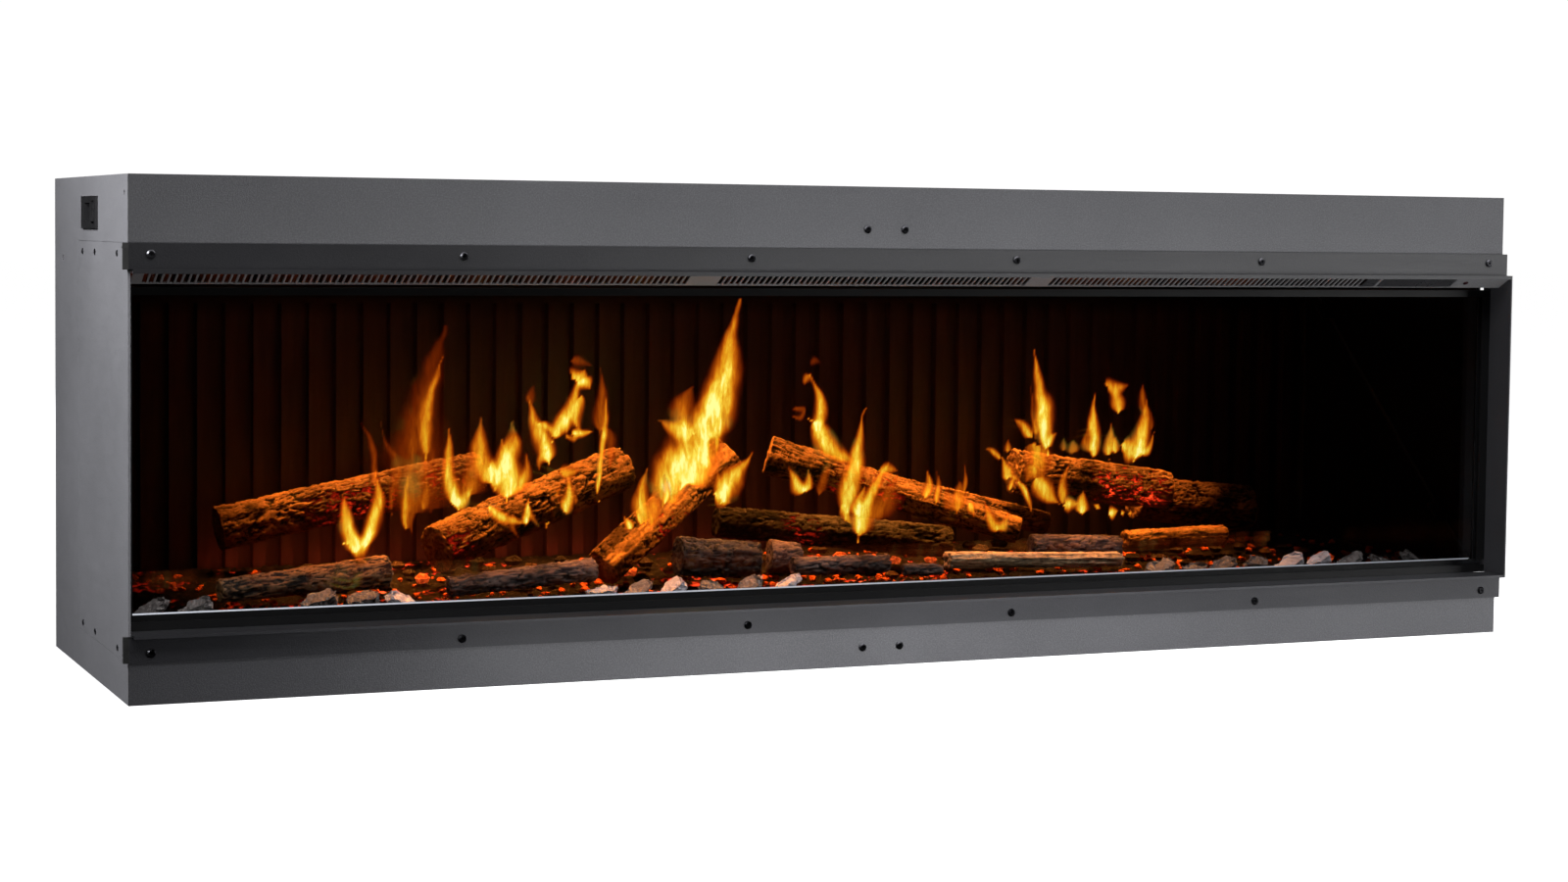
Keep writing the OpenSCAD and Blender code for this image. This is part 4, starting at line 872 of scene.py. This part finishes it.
# Each flame stands on a node at a share of its length, and is drawn by strokes. A stroke is
# (foot x, foot z, tip x, tip z, sideways bow, width, heat), in millimetres from that place.
FLAMES = [
    ("log_front_left", 1.05, 22, [
        (-43, -8, -48, 46, -3, 17, 1.0), (-52, 2, -20, 10, 8, 22, 1.0), (-32, -4, -21, 66, 9, 15, 1.0),
        (-22, 54, -38, 112, 6, 9, 0.4)]),
    ("log_rear_left", 0.62, -6, [
        (34, -34, 60, 152, -8, 46, 0.42), (44, 30, 60, 126, -5, 13, 0.8), (28, -50, 28, 50, 0, 11, 0.5),
        (28, -50, 26, 10, 0, 6, 0.75), (80, -22, 65, 52, -4, 15, 1.0), (74, -20, 96, -8, 4, 19, 1.0),
        (92, -14, 93, 26, 4, 28, 0.6), (12, -26, 0, 64, 7, 10, 0.42), (50, -30, 52, 20, 2, 40, 0.3),
        (14, 4, 38, 72, -8, 34, 0.22), (44, -28, 46, 6, 0, 8, 0.5)]),
    ("log_centre_left", 0.3, -8, [
        (0, 30, -12, 94, -8, 26, 0.85), (12, 20, 11, 72, 4, 24, 1.0), (8, 40, 18, 92, 6, 17, 0.85),
        (14, 20, 32, 62, 9, 13, 0.8), (-2, 44, 14, 40, 4, 24, 1.0)]),
    ("log_centre_left", 0.66, -8, [
        (-14, 20, -29, 86, 2, 17, 1.0), (-28, 82, -26, 102, 0, 10, 0.4), (-12, 30, -25, 12, 4, 8, 0.8),
        (-20, 64, -2, 46, -3, 11, 0.85), (-6, 46, 18, 112, 6, 17, 1.0), (12, 108, 24, 120, 3, 20, 0.9),
        (18, 106, 32, 98, -4, 15, 0.95), (10, 126, 30, 126, -3, 13, 0.4), (22, 92, 22, 48, 5, 10, 0.9),
        (12, 50, 32, 51, 0, 9, 1.0), (4, 72, 6, 46, -4, 8, 0.7), (6, 46, 20, 50, 4, 7, 0.7)]),
    ("log_centre_left", 0.8, -22, [
        (14, -6, 18, 100, 2, 7, 0.95), (14, 56, 9, 116, 2, 14, 0.5), (20, 62, 28, 12, -4, 12, 0.4),
        (-38, -36, -27, 2, 1, 9, 0.85), (-20, -28, -20, 18, 2, 12, 0.95), (-28, 18, -8, 20, 2, 13, 0.75),
        (-8, -16, -18, 12, 1, 6, 0.5)]),
    ("log_centre_left", 0.42, -30, [
        (-30, 17, 8, 6, 6, 10, 0.95), (6, 2, 8, 30, 1, 10, 1.0), (9, 22, 25, 0, 3, 8, 0.75),
        (-8, 6, -2, -12, 2, 5, 0.5)]),
    ("log_front_split", 0.75, -16, [
        (14, 34, 44, 172, 4, 36, 1.0), (-16, -4, 18, 88, 4, 54, 1.0), (-6, 44, -44, 60, -4, 19, 0.95),
        (-18, 50, -6, 92, -5, 30, 0.6), (-40, -26, -12, 42, -4, 38, 0.9), (9, 10, 15, 50, 0, 9, 0.9),
        (25, 66, 26, 14, 0, 7, 0.9), (36, 60, 40, 110, 3, 14, 0.5), (-34, -18, -20, 20, 0, 24, 1.0)]),
    ("log_front_split", 0.4, -18, [
        (-8, -4, -10, 46, -2, 16, 0.85), (12, 12, 9, 44, 2, 9, 0.95), (-26, -12, -31, 6, 2, 8, 1.0),
        (-12, -6, -15, 8, 0, 7, 1.0), (-2, -6, 2, 26, 2, 16, 0.7)]),
    ("log_charred_bar", 0.1, -6, [
        (-16, 18, 14, 70, -4, 21, 1.0), (-16, 20, -24, 48, 0, 15, 0.8), (-26, 24, -4, 18, 3, 14, 0.9)]),
    ("log_centre_split", 0.2, -10, [
        (-2, 30, -6, 92, 8, 15, 0.9), (-5, 92, -14, 82, 2, 9, 0.6), (-8, 105, 6, 105, -2, 9, 0.3),
        (-6, 40, 42, 0, 8, 21, 0.95), (-28, 58, -17, 44, -6, 8, 0.45), (-28, 46, -15, 57, 6, 8, 0.45),
        (-16, -31, -37, -8, -3, 12, 0.95), (-16, -31, -14, -8, 3, 11, 0.9), (0, -34, 14, 6, 0, 10, 0.5)]),
    ("log_centre_split", 0.38, -14, [
        (-22, -36, 0, 68, 4, 20, 1.0), (-24, -28, -11, -46, 4, 12, 0.9)]),
    ("log_centre_split", 0.52, -16, [
        (-42, -46, -18, 28, -4, 18, 1.0), (-42, -24, -41, 6, -3, 13, 0.95), (-28, -26, -8, 16, 4, 26, 0.5),
        (-26, 22, -8, 20, -2, 13, 0.75)]),
    ("log_centre_split", 0.78, -12, [
        (-51, 14, -47, 46, 2, 10, 0.9), (-36, 9, -37, 44, 1, 7, 0.75), (-13, 0, -12, 36, 0, 18, 0.7),
        (-6, 20, -3, 50, 1, 6, 0.6), (0, 4, 7, -12, 0, 9, 0.9), (-22, 4, -26, 30, 0, 10, 0.4)]),
    ("log_centre_split", 0.94, -12, [
        (-4, -7, -20, 22, 0, 12, 0.75), (-5, -6, 9, 10, 3, 11, 0.85), (-8, 0, -6, 14, 0, 14, 0.4)]),
    ("log_right_large", 0.0, -12, [
        (-5, -8, -8, 18, 2, 13, 1.0), (-10, 16, -36, 26, 4, 7, 0.8), (-2, 24, -4, 38, 0, 8, 0.7),
        (0, -21, 4, -4, 0, 7, 0.9), (10, -12, 30, -48, -2, 7, 0.95), (-2, -4, 14, -14, -2, 8, 0.7)]),
    ("log_right_large", 0.2, -10, [
        (4, 30, -10, 132, 6, 19, 1.0), (5, 34, 19, 43, -2, 11, 0.9), (-8, 38, -12, 104, 1, 6, 0.5),
        (-14, 42, -33, 62, 2, 11, 0.85), (-8, 46, -8, 64, 0, 9, 0.6), (-10, 34, -8, -12, -3, 28, 0.75),
        (-10, -6, 18, -35, 4, 21, 0.95), (-14, 10, -22, -14, -2, 15, 0.7)]),
    ("log_right_large", 0.52, -10, [
        (2, 26, 2, 96, -4, 13, 1.0), (-2, 32, -10, 56, -4, 13, 0.7), (-25, 30, -25, 46, 0, 13, 0.7),
        (-36, 33, -36, 47, 0, 7, 0.5), (-36, -26, -28, 20, -1, 10, 0.75)]),
    ("log_right_large", 0.8, -10, [
        (-37, 32, -38, 70, 1, 9, 0.9), (-31, 34, -32, 56, 0, 9, 0.8), (-32, 86, -30, 114, 0, 14, 0.85),
        (-42, 112, -18, 114, 4, 17, 0.7), (-10, 33, 4, 92, 2, 20, 0.95), (0, 80, 2, 114, -1, 9, 0.5),
        (-24, 42, 0, 40, 4, 21, 0.95), (-2, 36, 14, 54, 4, 10, 0.85), (10, 58, 9, 78, 0, 7, 0.4)]),
    ("log_right_large", 0.55, -28, [
        (-46, -10, -28, -6, -2, 13, 1.0), (-23, -14, -24, 8, 0, 15, 1.0), (-6, -9, -3, -5, 0, 10, 1.0),
        (12, -20, 25, -18, 0, 12, 1.0), (30, -21, 35, -19, 0, 8, 0.9), (41, -22, 46, -21, 0, 8, 0.8)]),
]
FLAME_PITCH = 2.0
# The flames' image stands this far in front of the logs' middles
FLAME_FORWARD = 46 * MM
FLAME_MARGIN = 16


def stroke_heat(x, z, stroke):
    """Heat that one stroke gives a point: full along its middle, thin at the foot and tip."""
    foot_x, foot_z, tip_x, tip_z, bow, width, heat = stroke
    span = Vector((tip_x - foot_x, tip_z - foot_z))
    length = span.length
    ahead = span / length
    beside = Vector((ahead.y, -ahead.x))
    here = Vector((x - foot_x, z - foot_z))
    t = here.dot(ahead) / length
    if t < -0.15 or t > 1.05:
        return 0.0
    held = min(1.0, max(0.0, t))
    off = here.dot(beside) - bow * math.sin(math.pi * held)
    swell = math.sin(math.pi * held ** 0.55) ** 0.8
    half = width * 0.86 * max(0.12, swell) * (1.0 if 0 <= t <= 1 else max(0.0, 1 - 8 * abs(t - held)))
    if half <= 0:
        return 0.0
    body = 1 - (off / half) ** 2
    return heat * max(0.0, body) ** 1.7 * (1 - 0.45 * held ** 2)


def make_flame(index, node, share, lift, strokes, material):
    """One flame: a thin curved sheet cut to its strokes, with the heat at each point on it."""
    middle, direction, half = long_axis(points_of(NODES[node].data))
    low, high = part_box(node)
    spot = Vector(middle + direction * half * (2 * share - 1))
    foot = Vector((spot.x, spot.y, spot.z + (high.z - low.z) * 0.15 + lift * MM))
    viewer = (SCENE.camera.location - foot).normalized()
    foot += viewer * (FLAME_FORWARD / -viewer.y)
    xs = [v for s in strokes for v in (s[0], s[2])]
    zs = [v for s in strokes for v in (s[1], s[3])]
    edge = FLAME_MARGIN + max(abs(s[4]) for s in strokes)
    columns = int((max(xs) - min(xs) + 2 * edge) / FLAME_PITCH)
    rows = int((max(zs) - min(zs) + 2 * FLAME_MARGIN) / FLAME_PITCH)
    form = bmesh.new()
    grid = {}
    heats = {}
    shift = Vector((index * 7.3, index * 3.1, 0))
    for column in range(columns + 1):
        for row in range(rows + 1):
            x = min(xs) - edge + column * FLAME_PITCH
            z = min(zs) - FLAME_MARGIN + row * FLAME_PITCH
            sway = noise.noise_vector(Vector((x / 34, z / 46, 0)) + shift)
            flick = noise.noise_vector(Vector((x / 11, z / 18, 3)) + shift)
            at_x = x + 6 * sway.x + 2 * flick.x
            at_z = z + 7 * sway.y + 2.5 * flick.y
            heat = sum(stroke_heat(at_x, at_z, s) ** 3 for s in strokes) ** (1 / 3)
            depth = 5 * math.sin(x / 23 + index) + 4 * math.sin(z / 31 + 2 * index)
            vert = form.verts.new(foot + Vector((x, depth, z)) * MM)
            grid[column, row] = vert
            heats[vert] = min(1.0, heat)
    for column in range(columns):
        for row in range(rows):
            ring = [grid[column, row], grid[column + 1, row], grid[column + 1, row + 1], grid[column, row + 1]]
            if max(heats[v] for v in ring) > 0.03:
                form.faces.new(ring)
    loose = [v for v in form.verts if not v.link_faces]
    bmesh.ops.delete(form, geom=loose, context="VERTS")
    values = [heats[v] for v in form.verts]
    mesh = bpy.data.meshes.new(f"flame_{index:02d}")
    form.to_mesh(mesh)
    form.free()
    write_value(mesh, "warmth", values)
    smooth_shading(mesh)
    piece = link_piece(f"flame_{index:02d}", mesh, material)
    piece.visible_shadow = False


def make_flames():
    material = flame_light()
    for index, (node, share, lift, strokes) in enumerate(FLAMES):
        make_flame(index, node, share, lift, strokes, material)


# ---------------------------------------------------------------- studio

# What stands inside the chamber, what of it lies along the front where the room's light reaches,
# what the light off the floor reaches, and what makes up the left and right of the casing
CHAMBER = (
    "fluted_liner", "side_liners", "fuel_tray", "mirror_glass", "mirror_clips", "flame_display", "deck_panel",
    "tray_supports", "ember_light_strips",
)
LEDGE_PIECES = (
    "slates", "log_front_board_bark", "log_charred_knot_bark", "log_splinters_bark", "log_front_left_bark",
)
LOW_FRONT = ("bottom_fascia", "bottom_trim", "right_trim", "screws")
TOP_FRONT = ("top_fascia", "outlet_grille", "touch_panel", "control_insert", "remote_lens")
SIDE_NODES = (
    "left_side_panel", "left_window_cover", "right_side_panel", "right_window_cover", "power_inlet",
    "rocker_switch", "screws", "trim_end_caps",
)


def lit_group(name, pieces):
    """The pieces that a set of lamps lights."""
    group = bpy.data.collections.new(name)
    for piece in pieces:
        group.objects.link(piece)
    return group


def area_light(name, group, spot, aim, size, power, colour=(1, 1, 1), glossy=True, spread=180):
    data = bpy.data.lights.new(name, "AREA")
    data.shape = "RECTANGLE"
    data.size, data.size_y = size
    data.energy = power
    data.color = colour
    data.spread = math.radians(spread)
    lamp = bpy.data.objects.new(name, data)
    SCENE.collection.objects.link(lamp)
    lamp.location = spot
    lamp.rotation_mode = "QUATERNION"
    lamp.rotation_quaternion = (Vector(aim) - Vector(spot)).to_track_quat("-Z", "Y")
    lamp.light_linking.receiver_collection = group
    lamp.visible_glossy = glossy
    lamp.visible_camera = False
    return lamp


def make_studio():
    world = bpy.data.worlds.new("studio")
    SCENE.world = world
    world.use_nodes = True
    backdrop = world.node_tree.nodes["Background"]
    backdrop.inputs["Color"].default_value = (1, 1, 1, 1)
    backdrop.inputs["Strength"].default_value = 1.05
    world.cycles_visibility.diffuse = False
    world.cycles_visibility.glossy = False
    world.cycles_visibility.transmission = False
    SCENE.view_settings.view_transform = "Standard"
    bpy.ops.mesh.primitive_plane_add(size=60, location=(0, 0, CAD_BOX[0].z))
    floor = bpy.context.object
    floor.name = "studio_floor"
    floor.data.materials.append(ground_white())
    floor.visible_glossy = False
    floor.visible_diffuse = False
    low, high = CAD_BOX
    middle = (low + high) / 2
    pieces = [o for o in SCENE.objects if o.type == "MESH"]
    outside = [o for o in pieces if o.name not in CHAMBER and o.name in NODES or o == floor]
    ledge = [o for o in pieces if o.name in LEDGE_PIECES]
    casing = lit_group("casing_lit", outside)
    low_front = lit_group("low_front_lit", [NODES[name] for name in LOW_FRONT])
    top_front = lit_group("top_front_lit", [NODES[name] for name in TOP_FRONT])
    trim_front = lit_group("trim_front_lit", [NODES["top_trim"]])
    front = lit_group("front_lit", outside + ledge)
    sides = lit_group("sides_lit", [NODES[name] for name in SIDE_NODES])
    area_light("overhead", front, (0.15, -0.95, 1.7), middle, (4.0, 0.8), 35)
    area_light("left_side", sides, (-1.4, -0.42, 0.82), (low.x, low.y, middle.z), (0.5, 0.5), 24)
    area_light("right_front", front, (4.2, -2.8, 0.8), (0.6, -0.2, 0.24), (2.2, 2.0), 40)
    area_light("bounce_top", top_front, (0.35, -0.95, 0.03), (0.3, -0.2, 0.4), (1.9, 0.4), 14)
    area_light("bounce_trim", trim_front, (0.75, -1.1, 0.2), (0.6, -0.2, 0.38), (1.4, 0.4), 4.5)
    area_light("bounce_middle", low_front, (0.0, -0.62, 0.02), (0.05, -0.2, 0.06), (0.8, 0.3), 5.5, glossy=False)
    area_light("bounce_right", low_front, (0.95, -0.66, 0.03), (0.7, -0.2, 0.08), (0.9, 0.4), 7, glossy=False)
    area_light("rear", casing, (0.4, 4.0, 2.0), middle, (3.0, 2.0), 60)


def make_fire_light():
    """The light inside the chamber: the display above and the red boards under the bed."""
    low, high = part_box("flame_display")
    bed_low, bed_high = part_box("ember_bed")
    liner_low, liner_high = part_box("fluted_liner")
    across = high.x - low.x
    spot = Vector((-0.03 * across, (low.y + high.y) / 2, low.z - 6 * MM))
    screen = (across * 0.78, (high.y - low.y) * 0.7)
    below = spot - Vector((0, 0, 1))
    inside = [o for o in SCENE.objects if o.type == "MESH" and o.name not in NODES and o.name != "studio_floor"]
    chamber = lit_group("chamber_lit", inside + [NODES[name] for name in CHAMBER])
    area_light("display_glow", chamber, spot, below, screen, 7.0, (1.0, 0.33, 0.04), False, spread=44)
    behind = Vector((-0.2, liner_low.y - 12 * MM, bed_high.z - 4 * MM))
    area_light("ember_glow", chamber, behind, behind + Vector((0, 0.35, 1)), (0.8, 0.012), 0.12, (1.0, 0.1, 0.04), False)
    area_light("chamber_warmth", chamber, spot, spot + Vector((0, 0.6, -0.8)), screen, 0.36, (1.0, 0.42, 0.3), False)


# ---------------------------------------------------------------- build

make_camera()
dress_cad_nodes()
make_logs()
make_ember_bed(ember_crust())
roughened_stones("coals", "ember_coals", coal_skin(), 2, 0.12, 21, (0.05, 0.08, 0.1, 0.2, 0.3, 0.5, 0.85))
roughened_stones("slates", "slate_chips", slate_skin(), 5, 0.3, 22, SLATE_TONES, (0.15, 0.6), 1.25)
make_crumbs(bpy.data.materials["coal_resin"])
make_flames()
make_studio()
make_fire_light()
